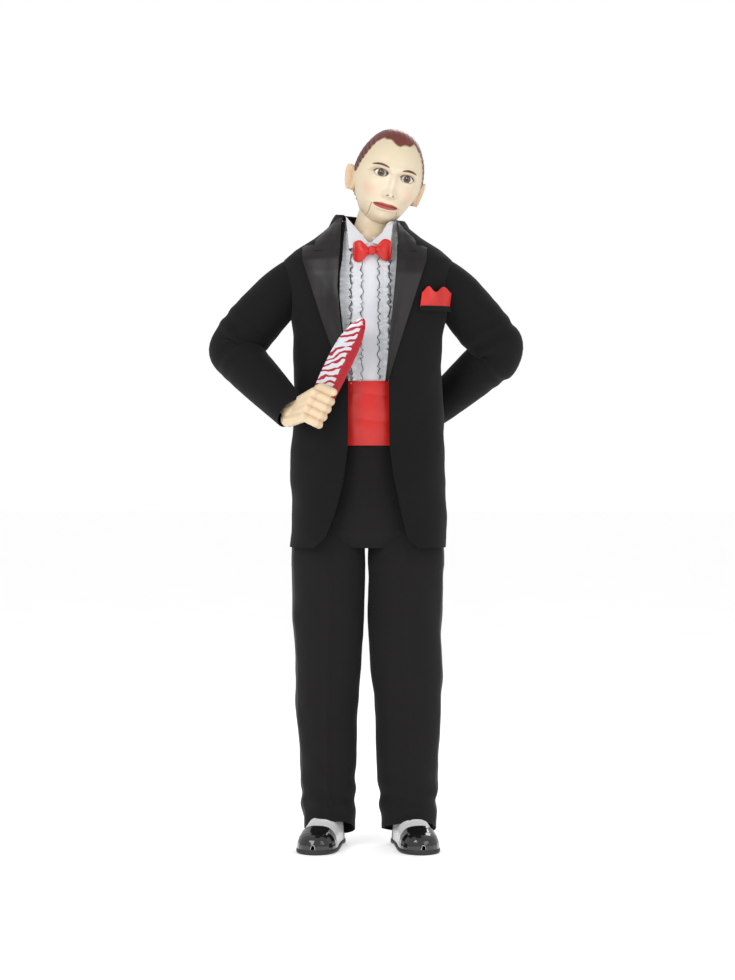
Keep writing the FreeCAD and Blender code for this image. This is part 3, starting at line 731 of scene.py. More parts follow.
SLEEVE_SPLIT, SLEEVE_THICK = 0.275, 0.0018
SLEEVE_RINGS, SLEEVE_AROUND = 130, 72
for name, sign in SIDES:
    shoulder, elbow = pivot("shoulder_" + name), pivot("elbow_" + name)
    wrist = elbow + FORE_AIM[name] * FOREARM
    inside = shoulder + Vector((-sign * 0.026, 0, 0.004))
    path, along = smooth_line([inside, shoulder + Vector((sign * 0.006, 0, -0.012)),
                          shoulder.lerp(elbow, 0.45), shoulder.lerp(elbow, 0.8), elbow,
                          elbow.lerp(wrist, 0.2), elbow.lerp(wrist, 0.6), wrist], SLEEVE_RINGS)
    part = along / along[-1]
    radius = np.interp(part, [0, 0.08, 0.2, 0.38, 0.5, 0.6, 0.75, 0.92, 1],
                       [0.029, 0.0345, 0.0385, 0.040, 0.039, 0.0365, 0.0335, 0.0285, 0.026])
    angle = all_round(SLEEVE_AROUND)
    s = along[:, None]
    near_elbow = np.exp(-((part[:, None] - 0.5) / 0.13) ** 2)
    ripple = 0.045 * folds(s * 1.3, angle, 61 + sign, 8)
    ripple = ripple + 0.055 * near_elbow * np.sin(s * 260 + 1.5 * np.sin(angle)) \
        * (0.5 + 0.5 * np.cos(angle))
    ripple = ripple * smoothstep(0.0, 0.12, part)[:, None] * smoothstep(1.0, 0.93, part)[:, None]
    rings = swept(path, radius, SLEEVE_AROUND, ripple, (0, -1, 0))
    cut = int(SLEEVE_SPLIT * SLEEVE_RINGS)
    upper = sheet("sleeve_top_" + name, rings[:cut + 1], "jacket_cloth", True)
    hang(finalise(upper, SLEEVE_THICK), "torso", "upper_arm_" + name, start=tuple(inside),
         end=tuple(shoulder.lerp(elbow, 0.25)), slot="jacket_cloth",
         replaces=["sleeve_upper_" + name])
    lower = sheet("sleeve_end_" + name, rings[cut:], "jacket_cloth", True)
    hang(finalise(lower, SLEEVE_THICK), "upper_arm_" + name, "forearm_" + name,
         start=tuple(elbow.lerp(shoulder, 0.24)), end=tuple(elbow.lerp(wrist, 0.22)),
         slot="jacket_cloth", replaces=["sleeve_lower_" + name])

# ---------------------------------------------------------------- trousers
SEAT = [(0.446, 0.060, 0.048, 0.050), (0.470, 0.100, 0.062, 0.068), (0.500, 0.104, 0.064, 0.074),
        (0.550, 0.092, 0.058, 0.068), (0.604, 0.078, 0.050, 0.058)]
z = rising(SEAT[0][0], SEAT[-1][0], 50)
angle = all_round(120)
front = np.cos(angle) > 0
depth = np.where(front, table(z, SEAT, 2), table(z, SEAT, 3))
pleats = 0.0022 * np.abs(np.sin(angle * 7)) * smoothstep(0.47, 0.60, z) * front
pleats = pleats + 0.0022 * folds(z * 1.5, angle, 71, 8)
x = CX + (table(z, SEAT, 1) + pleats) * np.sin(angle)
fly = 0.0015 * np.exp(-((x - CX - 0.003) / 0.002) ** 2) * front * smoothstep(0.600, 0.580, z)
y = CY - (depth + pleats - fly) * np.cos(angle)
seat = mesh_object("trouser_seat_cloth", stacked(x, y, z),
                   grid_faces(50, 120, True) + [tuple(range(120))], "trouser_cloth")
hang(finalise(seat, 0.0016), "torso", slot="trouser_cloth", replaces=["trouser_seat"])

LEG = {  # height, centre x, half width
    "right": [(0.026, -0.055, 0.037), (0.074, -0.0565, 0.038), (0.134, -0.057, 0.041),
              (0.193, -0.059, 0.044), (0.253, -0.057, 0.047), (0.313, -0.0565, 0.050),
              (0.420, -0.056, 0.0545), (0.460, -0.056, 0.053), (0.500, -0.052, 0.046)],
    "left": [(0.026, 0.064, 0.039), (0.074, 0.0625, 0.0415), (0.134, 0.0615, 0.0455),
             (0.193, 0.0625, 0.0475), (0.253, 0.061, 0.051), (0.313, 0.058, 0.0535),
             (0.420, 0.0595, 0.0555), (0.460, 0.059, 0.053), (0.500, 0.056, 0.046)]}
LEG_SPLIT, LEG_AROUND, TROUSER_THICK = 0.36, 96, 0.0016
for name, sign in SIDES:
    hip, knee = pivot("hip_" + name), pivot("knee_" + name)

    def leg_rings(low, high, rows):
        z = rising(high, low, rows)
        angle = all_round(LEG_AROUND)
        centre, half = table(z, LEG[name], 1), table(z, LEG[name], 2)
        crease = 0.0030 * (np.exp(-((np.sin(angle / 2)) / 0.05) ** 2)
                           + np.exp(-((np.cos(angle / 2)) / 0.05) ** 2))
        crease = crease * smoothstep(0.46, 0.40, z)
        drape = 0.0022 * folds(z, angle, 81 + sign, 9) \
            + 0.0012 * folds(z * 2.5, angle * 2, 83 + sign, 6)
        slant = z * 150 + 1.6 * np.sin(angle + sign) + 0.8 * np.sin(2 * angle)
        breaks = 0.0022 * bell(z, 0.070, 0.026) * np.sin(slant)
        behind = 0.0016 * bell(z, knee.z, 0.05) * np.sin(slant * 0.7) \
            * smoothstep(0.2, -0.6, np.cos(angle))
        r = half + drape + breaks + behind
        x = centre + r * np.sin(angle)
        y = CY - 0.001 - (r * 0.93 + crease) * np.cos(angle)
        fall = smoothstep(0.090, 0.026, z)
        return stacked(x, y, z + fall * (0.013 * np.cos(angle) + 0.002 * np.sin(angle * 2)))

    def leg_piece(label, low, high, rows):
        faces = grid_faces(rows, LEG_AROUND, True)
        stripe = 22 if sign > 0 else LEG_AROUND - 22
        slots = [1 if abs(face[0] % LEG_AROUND - stripe) <= 3 else 0 for face in faces]
        piece = mesh_object(label, leg_rings(low, high, rows), faces, "trouser_cloth",
                            "stripe_satin", face_slots=slots)
        return finalise(piece, TROUSER_THICK)

    top = leg_piece("trouser_top_" + name, LEG_SPLIT, 0.500, 36)
    hang(top, "torso", "thigh_" + name, start=(hip.x, hip.y, 0.497), end=(hip.x, hip.y, 0.405),
         slot="trouser_cloth", replaces=["trouser_thigh_" + name])
    shank = leg_piece("trouser_leg_" + name, 0.026, LEG_SPLIT, 90)
    hang(shank, "thigh_" + name, "shin_" + name, start=(knee.x, knee.y, knee.z + 0.045),
         end=(knee.x, knee.y, knee.z - 0.045), slot="trouser_cloth",
         replaces=["trouser_shin_" + name])

# ---------------------------------------------------------------- shoes
TOE_OUT, SOLE = math.radians(10), 0.008
HEEL, TOE = -0.042, 0.108
SHOE = [  # distance forward of the ankle, half width, height over the sole
    (-0.042, 0.006, 0.030), (-0.039, 0.015, 0.044), (-0.032, 0.0205, 0.050),
    (-0.018, 0.0235, 0.052),
    (0.000, 0.0240, 0.050), (0.018, 0.0245, 0.0455), (0.036, 0.0258, 0.0390),
    (0.052, 0.0275, 0.0325),
    (0.066, 0.0285, 0.0280), (0.080, 0.0280, 0.0250), (0.090, 0.0258, 0.0228),
    (0.098, 0.0215, 0.0200),
    (0.1035, 0.0155, 0.0165), (0.1065, 0.0095, 0.0125), (0.108, 0.0030, 0.0070)]


def shoe_shell(low, high, rows, grow=0.0):
    """Half ring after half ring over the foot; only the bare vamp has creases."""
    s = rising(low, high, rows)
    a = sideways(0, math.pi, 40)
    half, tall = table(s, SHOE, 1) + grow, table(s, SHOE, 2) + grow
    crease = 0.0007 * np.sin(s * 900) * bell(s, 0.042, 0.010) * (grow == 0)
    x = half * powered(np.cos(a), 0.72)
    z = SOLE - 0.0006 + (tall + crease) * np.sin(a) ** 0.82
    return stacked(x, -s, z)


for name, sign in SIDES:
    hip = pivot("hip_" + name)
    place = Matrix.Translation((hip.x + sign * 0.004, CY + 0.004, 0)) @ Matrix.Rotation(
        sign * TOE_OUT, 4, "Z")

    def shoe_piece(piece, slot, replaces=(), thick=0.0):
        finalise(piece, thick)
        piece.matrix_world = place
        hang(piece, "shin_" + name, slot=slot, replaces=replaces)

    shoe_piece(sheet("shoe_vamp_" + name, shoe_shell(HEEL, TOE, 90), "shoe_white"), "shoe_white",
               ["shoe_upper_" + name])
    cap = shoe_shell(0.060, TOE + 0.0005, 60, 0.0009)
    bend = rising(1, 0, 60) * np.cos(np.linspace(-1.2, 1.2, 40))[None, :]
    cap[..., 1] -= 0.010 * bend * smoothstep(0.1, 0.9, bend)
    shoe_piece(sheet("shoe_cap_" + name, cap, "shoe_black"), "shoe_black",
               ["shoe_toe_cap_" + name], 0.0008)
    counter = shoe_shell(HEEL, -0.012, 24, 0.0008)
    shoe_piece(sheet("shoe_counter_" + name, counter, "shoe_black"), "shoe_black", (), 0.0008)
    facing = shoe_shell(-0.004, 0.030, 30, 0.0011)[:, 12:28]
    shoe_piece(sheet("shoe_facing_" + name, facing, "shoe_black"), "shoe_black", (), 0.0009)
    # sole with a rounded welt, hollowed a little under the instep
    s = rising(HEEL, TOE, 80)
    half = table(s, SHOE, 1) + 0.0022
    a = all_round(24)
    x = half * powered(np.cos(a), 0.35)
    z = SOLE / 2 + SOLE / 2 * powered(np.sin(a), 0.4)
    waist = 0.003 * bell(s, 0.008, 0.010)
    z = np.where(z < SOLE / 2, z + waist, z)
    faces = grid_faces(80, 24, True) + [tuple(range(24)), tuple(range(79 * 24, 80 * 24))]
    shoe_piece(mesh_object("shoe_sole_welt_" + name, stacked(x, -s, z), faces, "sole_rubber"),
               "sole_rubber", ["shoe_sole_" + name])
    # laces: three crossings
    verts, faces = [], []
    for row in range(3):
        s0 = 0.002 + 0.010 * row
        half, tall = table(s0, SHOE, 1), table(s0, SHOE, 2)
        a = np.linspace(1.15, math.pi - 1.15, 20)
        line = np.stack((half * np.cos(a) * 1.02, -s0 + 0.003 * np.sin(a * 6),
                         SOLE + (tall + 0.0022) * np.sin(a) ** 0.82), -1)
        verts.append(swept(line, np.full(20, 0.0011), 8))
        base = row * 20 * 8
        faces += [tuple(base + k for k in face) for face in grid_faces(20, 8, True)]
    shoe_piece(mesh_object("shoe_laces_" + name, verts, faces, "black_edge"), "shoe_black")

# ---------------------------------------------------------------- hands and knife
HAND_AIM = {"right": Vector((44, -22, 20)).normalized(),
            "left": Vector((-30, 4, -36)).normalized()}
REACH = 0.0408  # from the wrist to the middle of the fist
BLADE_AIM = Vector((62, -4, 128)).normalized()


def square_to(direction, axis):
    """The part of a direction that is at right angles to an axis, as a unit vector."""
    return (direction - axis * direction.dot(axis)).normalized()


FACING = square_to(Vector((-0.2, -1, 0)), BLADE_AIM)


def bone(mesh, start, end, r0, r1):
    """Chain of small balls that the hand's skin is later drawn over."""
    steps = max(2, int((end - start).length / 0.0026))
    for step in range(steps + 1):
        part = step / steps
        bmesh.ops.create_icosphere(mesh, subdivisions=2, radius=r0 + (r1 - r0) * part,
                                   matrix=Matrix.Translation(start.lerp(end, part)))


def hand(name, fist, wrist, grip, outward):
    """Fist closed round a line: four fingers, a thumb, knuckles and the back of the hand."""
    mesh = bmesh.new()
    grip = grip.normalized()
    outward, towards = square_to(outward, grip), square_to(wrist - fist, grip)
    for offset, thick in ((-0.0205, 0.0064), (-0.0078, 0.0072), (0.0050, 0.0076),
                          (0.0172, 0.0074)):
        centre = fist + grip * offset
        points = []
        for degrees in (38, 78, 125, 172, 218, 262):
            a = math.radians(degrees)
            reach = 0.0150 if degrees > 60 else 0.0185
            points.append(centre + (towards * math.cos(a) + outward * math.sin(a)) * reach)
        for a, b in zip(points, points[1:]):
            bone(mesh, a, b, thick, thick * 0.96)
        bone(mesh, wrist + grip * offset * 0.50, points[0], 0.0125, thick + 0.0022)
    bone(mesh, wrist, fist + towards * 0.014, 0.0155, 0.0130)
    root = wrist.lerp(fist, 0.35) + grip * 0.014 + outward * 0.005
    knuckle = fist + grip * 0.0290 + towards * 0.008 + outward * 0.008
    bone(mesh, root, knuckle, 0.0105, 0.0082)
    bone(mesh, knuckle, fist + grip * 0.0310 + outward * 0.0150 - towards * 0.013, 0.0080, 0.0064)
    data = bpy.data.meshes.new("hand_" + name)
    mesh.to_mesh(data)
    mesh.free()
    data.materials.append(MATS["flesh_paint"])
    obj = bpy.data.objects.new("hand_skin_" + name, data)
    bpy.context.scene.collection.objects.link(obj)
    remesh = obj.modifiers.new("skin", "REMESH")
    remesh.mode = "VOXEL"
    remesh.voxel_size = 0.0012
    soften = obj.modifiers.new("soften", "SMOOTH")
    soften.factor, soften.iterations = 0.5, 5
    apply_modifiers(obj)
    obj.data.polygons.foreach_set("use_smooth", [True] * len(obj.data.polygons))
    co = positions(obj)
    along = (co - np.array(fist)) @ np.array(grip)
    nearest = np.min([np.abs(along - seam) for seam in (-0.0142, -0.0014, 0.0111, 0.0238)], 0)
    past = (np.array(fist) - co) @ np.array(towards)
    shade = (0.55 * bell(nearest, 0, 0.0016) * smoothstep(-0.014, -0.004, past))[:, None]
    colour = CREAM * np.array((1.0, 0.92, 0.86))
    paint(obj, colour * (1 - shade) + np.array((0.55, 0.26, 0.12)) * shade)
    return hang(obj, "forearm_" + name, slot="flesh_paint", replaces=["hand_" + name])


FORWARD = Vector((0, -1, 0))
wrist = pivot("elbow_right") + FORE_AIM["right"] * FOREARM
hand_frame_z = -HAND_AIM["right"]
hand_frame_x = HAND_AIM["right"].cross(FORWARD).normalized()
fist = wrist + hand_frame_x * 0.0096 - hand_frame_z * REACH
hand("right", fist, wrist, BLADE_AIM, FORWARD)
left_wrist = pivot("elbow_left") + FORE_AIM["left"] * FOREARM
left_fist = left_wrist + HAND_AIM["left"] * REACH
hand("left", left_fist, left_wrist, Vector((0.5, 0.1, -0.5)).cross(-FORWARD), -FORWARD)

knife_place = Matrix((BLADE_AIM.cross(FACING), BLADE_AIM, FACING)).transposed().to_4x4()
knife_place.translation = fist
# blade outline, from the guard up the edge to the tip and back down the spine
BLADE = [(-0.0175, 0.022), (-0.0188, 0.050), (-0.0188, 0.085), (-0.0165, 0.108), (-0.0105, 0.128),
         (-0.0020, 0.1440), (0.0035, 0.1480), (0.0080, 0.1450), (0.0125, 0.136), (0.0160, 0.122),
         (0.0185, 0.100), (0.0190, 0.060), (0.0180, 0.022)]
outline = np.array(BLADE)
centre, count = outline.mean(0), len(BLADE)
verts, faces = [], []
# five copies of the outline: its edge, then two pulled in on each side
for z, inset in ((0.0, 1.0), (0.0014, 0.80), (0.0015, 0.55), (-0.0014, 0.80), (-0.0015, 0.55)):
    verts.append(stacked(*(centre + (outline - centre) * inset).T, z))
for a, b in ((0, 1), (1, 2), (3, 0), (4, 3)):
    for j in range(count):
        k = (j + 1) % count
        faces.append((a * count + j, a * count + k, b * count + k, b * count + j))
faces += [tuple(range(2 * count, 3 * count)), tuple(reversed(range(4 * count, 5 * count)))]
blade = mesh_object("knife_blade_toy", verts, faces, "toy_blade")
blade.data.polygons.foreach_set("use_smooth", [False] * len(blade.data.polygons))
blade.matrix_world = knife_place
hang(blade, "forearm_right", slot="toy_blade", replaces=["knife_blade"])
s = np.linspace(-0.026, 0.022, 30)
swell = np.interp(s, [-0.026, -0.022, -0.005, 0.012, 0.016, 0.018, 0.0215, 0.022],
                  [0.001, 0.0055, 0.0050, 0.0055, 0.0055, 0.0080, 0.0080, 0.002])
grip = sheet("knife_grip", swept(stacked(0, s, 0), swell, 20), "dark_wood", True)
grip.matrix_world = knife_place
hang(grip, "forearm_right", slot="dark_wood", replaces=["knife_handle"])

# ---------------------------------------------------------------- head
up = Vector(JOINTS["head_turn"]["axis"])
across = Vector(JOINTS["jaw_drop"]["axis"])
HEAD = Matrix((across, up.cross(across), up)).transposed().to_4x4()
HEAD.translation = MID
HC = np.array((0.0, -0.008, 0.1145))  # the head egg's middle
HR = np.array((0.050, 0.059, 0.0725))  # and its radii, both in the head's own frame
EYE_X, EYE_Y, EYE_R = 0.020, -0.051, 0.012
# usual proportions: eyes halfway up, hairline to chin in equal thirds, mouth a third below the nose
CHIN, CROWN = HC[2] - HR[2], HC[2] + HR[2]
EYE_Z = (CHIN + CROWN) / 2
THIRD = ((CROWN - (CROWN - CHIN) / 7) - CHIN) / 3
NOSE_BASE, BROW = CHIN + THIRD, CHIN + 2 * THIRD
MOUTH, JAW_HALF = NOSE_BASE - THIRD / 3, 0.020
LIP_HALF, EAR_Z = 0.0185, (NOSE_BASE + BROW) / 2
SHELL_THICK, BACK_CUT = 0.0035, 0.018  # the shell's wall, and where its rear cover starts
LID_WIDE, LID_TALL = 0.0100, 0.0056
HAIRLINE = [  # angle round the head from its front, height of the combed hair's edge
    (0, 0.1580), (0.30, 0.1630), (0.62, 0.1670), (0.92, 0.156), (1.12, 0.132),
    (1.30, 0.114), (1.62, 0.112), (1.85, 0.088), (2.3, 0.076), (math.pi, 0.074)]


def lip_line(x):
    """Height of the calm, almost level line between the lips."""
    return MOUTH + 2.0 * np.minimum(np.abs(x), LIP_HALF) ** 2


def face_form(az, el):
    """Surface point, hair share and groove depth for one direction out of the head's middle."""
    d = np.stack((np.sin(az) * np.cos(el), -np.cos(az) * np.cos(el), np.sin(el)), -1)
    radii = np.broadcast_to(HR, d.shape).copy()  # drawn in below, towards the chin
    radii[..., 0] *= 1 - 0.12 * smoothstep(-0.1, -1.0, el)
    r = 1 / np.sqrt(((d / radii) ** 2).sum(-1))
    p = HC + d * r[..., None]
    x, z = p[..., 0], p[..., 2]
    front = smoothstep(0.15, 0.6, -d[..., 1])

    def bulge(x0, z0, sx, sz):
        return mound(x, z, x0, z0, sx, sz) * front

    lips = z - lip_line(x)
    out = 0.0070 * bulge(0, NOSE_BASE + 0.020, 0.0050, 0.014)
    out += 0.0125 * bulge(0, NOSE_BASE + 0.0055, 0.0062, 0.0060)
    out += 0.0036 * bulge(0, (MOUTH + CHIN) / 2 - 0.003, 0.0140, 0.0075)
    out += 0.0028 * np.exp(-((lips - 0.0026) / 0.0024) ** 2 - (x / 0.0150) ** 4) * front
    out += 0.0032 * np.exp(-((lips + 0.0034) / 0.0026) ** 2 - (x / 0.0140) ** 4) * front
    out -= 0.0010 * bulge(0, (NOSE_BASE + MOUTH) / 2, 0.0022, 0.0036)
    for sign in (-1, 1):
        out += 0.0050 * bulge(sign * 0.0076, NOSE_BASE + 0.0035, 0.0038, 0.0036)
        out -= 0.0022 * bulge(sign * 0.0042, NOSE_BASE + 0.0002, 0.0018, 0.0014)
        out -= 0.0030 * bulge(sign * EYE_X, EYE_Z, 0.0150, 0.0110)
        out += 0.0026 * bulge(sign * EYE_X, BROW, 0.0150, 0.0050)
        out += 0.0034 * bulge(sign * 0.030, NOSE_BASE + 0.008, 0.0120, 0.0120)
    turned = np.abs(az)
    line = table(turned, HAIRLINE) + 0.0012 * np.sin(az * 14)
    hair = smoothstep(-0.0007, 0.0010, z - line)
    lift = 0.0022 + 0.0012 * smoothstep(0.155, 0.175, z) * smoothstep(0.188, 0.178, z)
    comb = np.sin((p[..., 0] * 0.9 + 0.25 * p[..., 1]) * 1000)
    comb_side = np.sin((z * 0.8 - p[..., 1] * 0.6) * 900)
    top = smoothstep(0.150, 0.172, z)
    groove = (0.10 * top * comb + (1 - top) * comb_side) * 0.0008
    out = out + hair * (lift + groove)
    p = p + d * out[..., None]
    away = (np.abs(p[..., 0]) - EYE_X) ** 2 + (p[..., 2] - EYE_Z) ** 2
    over = (EYE_R + 0.0012) ** 2
    lid = EYE_Y - np.sqrt(np.clip(over - away, 0, None))
    covers = (away < over) & (d[..., 1] < 0)
    p[..., 1] = np.where(covers, np.minimum(p[..., 1], lid), p[..., 1])
    return p, hair, groove


def face_colour(p, hair, groove, az):
    x, y, z = p[..., 0], p[..., 1], p[..., 2]
    front = smoothstep(-0.030, -0.045, y)
    colour = np.broadcast_to(CREAM, p.shape).copy()

    def lay(tint, amount):
        share = np.clip(amount, 0, 1)[..., None]
        colour[:] = colour * (1 - share) + np.array(tint) * share

    def spot(x0, z0, sx, sz):
        return mound(x, z, x0, z0, sx, sz) * front

    # painted shade: the face turns darker ochre towards the underside of the chin
    lay((0.66, 0.44, 0.26), 0.35 * smoothstep(CHIN + 0.016, CHIN - 0.004, z))
    # painted highlight: lighter over the middle of the face, where light falls full on it
    lay((0.90, 0.80, 0.66), 0.40 * spot(0, NOSE_BASE + 0.012, 0.030, 0.034))
    for sign in (-1, 1):
        lay((0.80, 0.34, 0.24), 0.34 * spot(sign * 0.031, NOSE_BASE + 0.006, 0.011, 0.009))
        # painted shade: dark nostrils, standing in for the shadow inside the holes
        lay((0.10, 0.04, 0.03), 0.9 * smoothstep(1.15, 0.75, np.hypot(
            (x - sign * 0.0042) / 0.0019, (z - NOSE_BASE) / 0.0012)) * front)
        reach = x * sign
        lid = np.hypot((reach - EYE_X) / LID_WIDE, (z - EYE_Z) / LID_TALL)
        above = smoothstep(-0.001, 0.001, z - EYE_Z)
        lay((0.52, 0.33, 0.22), 0.50 * smoothstep(2.1, 1.2, lid) * above * front)
        lay((0.045, 0.018, 0.012), (0.35 + 0.60 * above) * smoothstep(1.22, 1.08, lid) * front)
        span = np.clip((reach - 0.0095) / 0.0250, 0, 1)
        arch = BROW + 0.0030 * np.sin(span * math.pi * 0.85) - 0.001
        thick = 0.0018 * np.clip(np.sin(span * math.pi), 0, 1) ** 0.5
        lay((0.075, 0.016, 0.010), smoothstep(0.0005, -0.0004, np.abs(z - arch) - thick) * front
            * (reach > 0.0095) * (reach < 0.0345))
    level = z - lip_line(x)
    width = np.sqrt(np.clip(1 - (x / LIP_HALF) ** 2, 0, 1))
    bow = 0.0036 * width - 0.0008 * bell(x, 0, 0.0035)
    upper = smoothstep(0.0004, -0.0004, np.abs(level - bow / 2) - bow / 2)
    lower = smoothstep(0.0004, -0.0004, np.abs(level + 0.0025 * width) - 0.0026 * width)
    lay((0.42, 0.055, 0.045), np.maximum(upper, lower) * front)
    lay((0.12, 0.02, 0.018), 0.9 * bell(level, 0, 0.0006) * front * (np.abs(x) < LIP_HALF))
    auburn, deep = np.array((0.175, 0.010, 0.008)), np.array((0.035, 0.004, 0.003))
    # painted shade: the strands turn darker in the comb grooves
    share = smoothstep(0.0004, -0.0008, groove)[..., None]
    # the hair is also darker lower down the sides
    side = smoothstep(0.150, 0.120, z)[..., None] * 0.35
    strands = auburn * (1 - share) + deep * share
    strands = strands * (1 - side) + deep * side
    share = hair[..., None]
    return colour * (1 - share) + strands * share


rows, cols = 250, 360
t = np.linspace(-1, 1, cols, endpoint=False)[None, :]
az = math.pi * powered(t, 1.25)  # closer together at the face
el = rising(-math.pi / 2 + 0.30, math.pi / 2 - 0.002, rows)
az, el = np.broadcast_arrays(az, el)
points, hair, groove = face_form(az, el)
colours = face_colour(points, hair, groove, az)
flat = points.reshape(-1, 3)
faces = grid_faces(rows, cols, True)
x, y, z = flat[np.array(faces)].mean(1).T
off_middle, parting = np.abs(x), lip_line(x)
in_eye = (np.hypot((off_middle - EYE_X) / LID_WIDE, (z - EYE_Z) / LID_TALL) < 1) & (y < 0)
in_jaw = (off_middle < JAW_HALF) & (z < parting) & (y < -0.019)
in_gap = (off_middle < JAW_HALF + 0.0009) & (z < parting + 0.0004) & (y < -0.018)
behind = y > BACK_CUT


def head_piece(label, chosen, body, slot, replaces):
    used = sorted({k for face, keep in zip(faces, chosen) if keep for k in face})
    index = {old: new for new, old in enumerate(used)}
    kept = [tuple(index[k] for k in face) for face, keep in zip(faces, chosen) if keep]
    obj = mesh_object(label, flat[used], kept, "flesh_paint")
    paint(obj, colours.reshape(-1, 3)[used])
    finalise(obj, SHELL_THICK)
    obj.matrix_world = HEAD
    hang(obj, body, slot=slot, replaces=replaces)


head_piece("face_and_hair", ~in_eye & ~in_gap & ~behind, "head", "flesh_paint", ["head_shell"])
head_piece("back_of_head", behind, "head", "hair_paint", ["head_rear_cover"])
head_piece("jaw_face", in_jaw, "jaw", "flesh_paint", ["jaw"])

for name, sign in SIDES:
    el = rising(-math.pi / 2, math.pi / 2, 60)
    az = all_round(80)
    local = stacked(np.cos(el) * np.cos(az), -np.sin(el), np.cos(el) * np.sin(az)) * EYE_R
    centre = np.array((sign * EYE_X, EYE_Y, EYE_Z))
    ball = sheet("eye_ball_" + name, local + centre, "eye_paint", True)
    x, y, z = local.reshape(-1, 3).T
    off = np.hypot(x, z)
    tint = np.array((0.80, 0.78, 0.72))
    # the iris, its dark rim, the pupil and a painted highlight, a spark of light
    for colour, share in ((np.array((0.11, 0.050, 0.022)), smoothstep(0.0054, 0.0050, off)),
                          (0.02, bell(off, 0.0052, 0.0004)),
                          (0.004, smoothstep(0.0026, 0.0022, off)),
                          (0.9, np.exp(-(np.hypot(x + 0.0012, z - 0.0014) / 0.0006) ** 2))):
        share = (share * (y < 0))[:, None]
        tint = tint * (1 - share) + colour * share
    paint(ball, tint)
    ball.matrix_world = HEAD
    hang(ball, "eye_" + name, slot="eye_paint", replaces=["eye_" + name])

    # ear: curled rim round a hollow
    v = rising(0, 1, 40)
    a = all_round(64)
    rim = np.sin(v * math.pi) ** 0.5
    egg = 1 + 0.16 * np.sin(a)
    rad = np.where(v < 0.5, v * 2, (1 - v) * 2) ** 0.7
    proud = np.where(v < 0.5, 0.0035 + 0.0032 * rad ** 3 - 0.0055 * bell(rad, 0, 0.55)
                     + 0.0018 * bell(rad, 0.62, 0.10) * (np.cos(a) < 0.4), -0.0040)
    yy = 0.0105 * rad * egg * np.cos(a) + 0.0010 * np.sin(a)
    zz = (BROW - NOSE_BASE) / 2 * 0.92 * rad * np.sin(a) * (1 + 0.06 * np.cos(a))
    xx = sign * (0.0468 + proud + 0.36 * (yy + 0.0105) + 0.12 * zz)
    ear_points = stacked(xx, 0.002 + yy, EAR_Z + zz)
    ear = sheet("ear_" + name, ear_points, "flesh_paint", True)
    # painted shade: the ear's hollow is painted darker
    hollow_shade = bell(rad, 0, 0.5) * (v < 0.5)
    share = np.broadcast_to(0.55 * hollow_shade, ear_points.shape[:2]).reshape(-1, 1)
    skin = CREAM * np.array((1.0, 0.86, 0.80))
    paint(ear, skin * (1 - share) + np.array((0.55, 0.22, 0.14)) * share)
    ear.matrix_world = HEAD
    hang(ear, "head", slot="flesh_paint")

# throat: a plain round neck that ends in a ball inside the collar
THROAT = [(-0.028, 0.014), (-0.020, 0.0275), (-0.010, 0.0325), (0.000, 0.0340), (0.012, 0.0335),
          (0.024, 0.0315), (0.036, 0.0300), (0.050, 0.0295), (0.068, 0.0280)]
z = rising(THROAT[0][0], THROAT[-1][0], 64)
az = all_round(96)
wide = table(z, THROAT)
deep = wide * (1 - 0.20 * smoothstep(0.030, 0.046, z) * (np.cos(az) > 0))
stem = stacked(wide * np.sin(az), -deep * np.cos(az), z)
throat = sheet("throat", stem, "flesh_paint", True)
shade = smoothstep(0.050, 0.020, stem[..., 2]).reshape(-1, 1) * 0.45
paint(throat, CREAM * (1 - shade) + np.array((0.62, 0.38, 0.22)) * shade)
throat.matrix_world = HEAD
hang(finalise(throat, 0.0012), "head", slot="flesh_paint", replaces=["neck"])

# ---------------------------------------------------------------- CAD parts that stay in view
SLOT_OF = {part["node"]: part["material_slot"] for part in frame["record"]["subparts"]}
for node_name, obj in frame["nodes"].items():
    obj.data.materials.clear()
    obj.data.materials.append(MATS[SLOT_OF[node_name]])

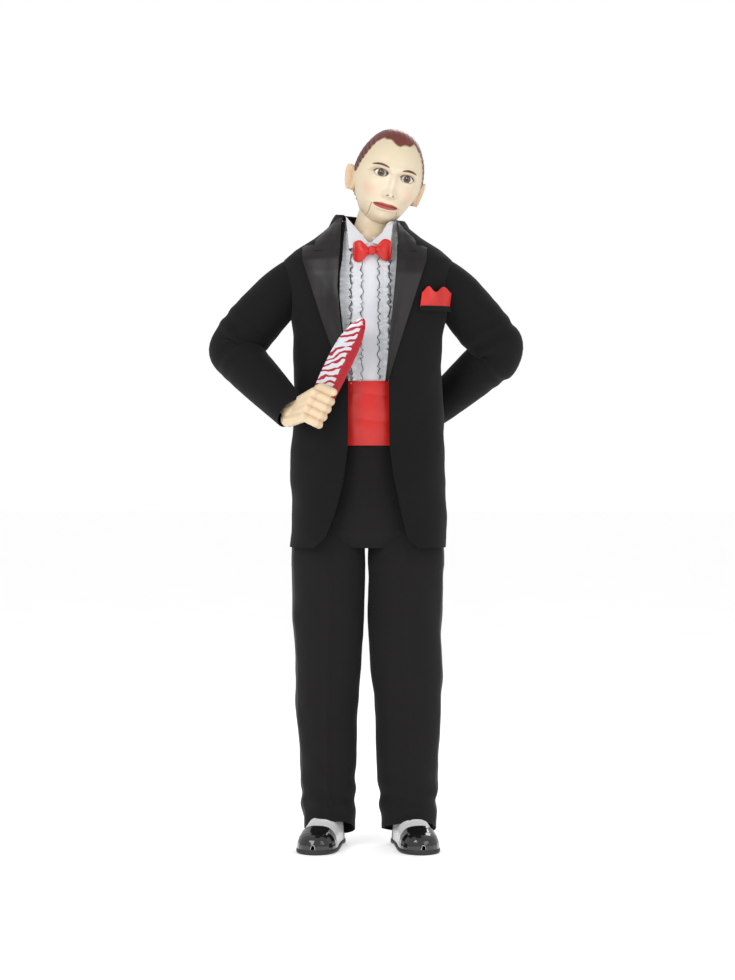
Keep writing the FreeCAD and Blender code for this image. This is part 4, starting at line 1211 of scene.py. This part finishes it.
# ---------------------------------------------------------------- floor, light and camera
VIEW_HEIGHT, PLANE_HEIGHT, DISTANCE, EYE_LEVEL, SENSOR = 1.466, 0.531, 3.7, 0.56, 24
floor_mesh = bpy.data.meshes.new("floor")
floor_mesh.from_pydata([(-30, -30, 0), (30, -30, 0), (30, 30, 0), (-30, 30, 0)], [], [(0, 1, 2, 3)])
floor = bpy.data.objects.new("floor", floor_mesh)
bpy.context.scene.collection.objects.link(floor)
pale = Shader("pale_floor")
pale.tint(pale.noise(3, 2), [(0.3, (0.90, 0.90, 0.90)), (0.7, (0.92, 0.92, 0.92))])
pale.constant(Roughness=0.9, Emission_Color=(1, 1, 1, 1), Emission_Strength=0.42,
              Specular_IOR_Level=0.1)
floor_mesh.materials.append(pale.mat)

world = bpy.data.worlds.new("studio")
world.use_nodes = True
backdrop = world.node_tree.nodes["Background"]
backdrop.inputs["Color"].default_value = (1, 1, 1, 1)
seen = world.node_tree.nodes.new("ShaderNodeLightPath").outputs["Is Camera Ray"]
strength = world.node_tree.nodes.new("ShaderNodeMapRange")
strength.inputs["To Min"].default_value = 0.62
strength.inputs["To Max"].default_value = 1.0
world.node_tree.links.new(seen, strength.inputs["Value"])
world.node_tree.links.new(strength.outputs["Result"], backdrop.inputs["Strength"])
bpy.context.scene.world = world


def soft_light(name, place, target, width, power):
    data = bpy.data.lights.new(name, "AREA")
    data.shape = "SQUARE"
    data.size, data.energy = width, power
    obj = bpy.data.objects.new(name, data)
    obj.location = place
    obj.rotation_euler = (Vector(target) - Vector(place)).to_track_quat("-Z", "Y").to_euler()
    bpy.context.scene.collection.objects.link(obj)


soft_light("key", (-1.6, -2.4, 2.2), (0, 0, 0.7), 1.4, 30)
soft_light("fill", (1.9, -2.2, 1.4), (0, 0, 0.6), 1.6, 13)
soft_light("rim", (0.6, 2.0, 2.2), (0, 0, 0.8), 1.2, 16)

camera_data = bpy.data.cameras.new("camera")
camera_data.sensor_fit = "VERTICAL"
camera_data.sensor_height = SENSOR
camera_data.lens = SENSOR * DISTANCE / VIEW_HEIGHT
camera_data.shift_y = (PLANE_HEIGHT - EYE_LEVEL) / VIEW_HEIGHT
camera = bpy.data.objects.new("camera", camera_data)
camera.location = (0.002, -DISTANCE + CY, EYE_LEVEL)
camera.rotation_euler = (math.pi / 2, 0, 0)
bpy.context.scene.collection.objects.link(camera)
bpy.context.scene.camera = camera
bpy.context.scene.view_settings.view_transform = "Standard"
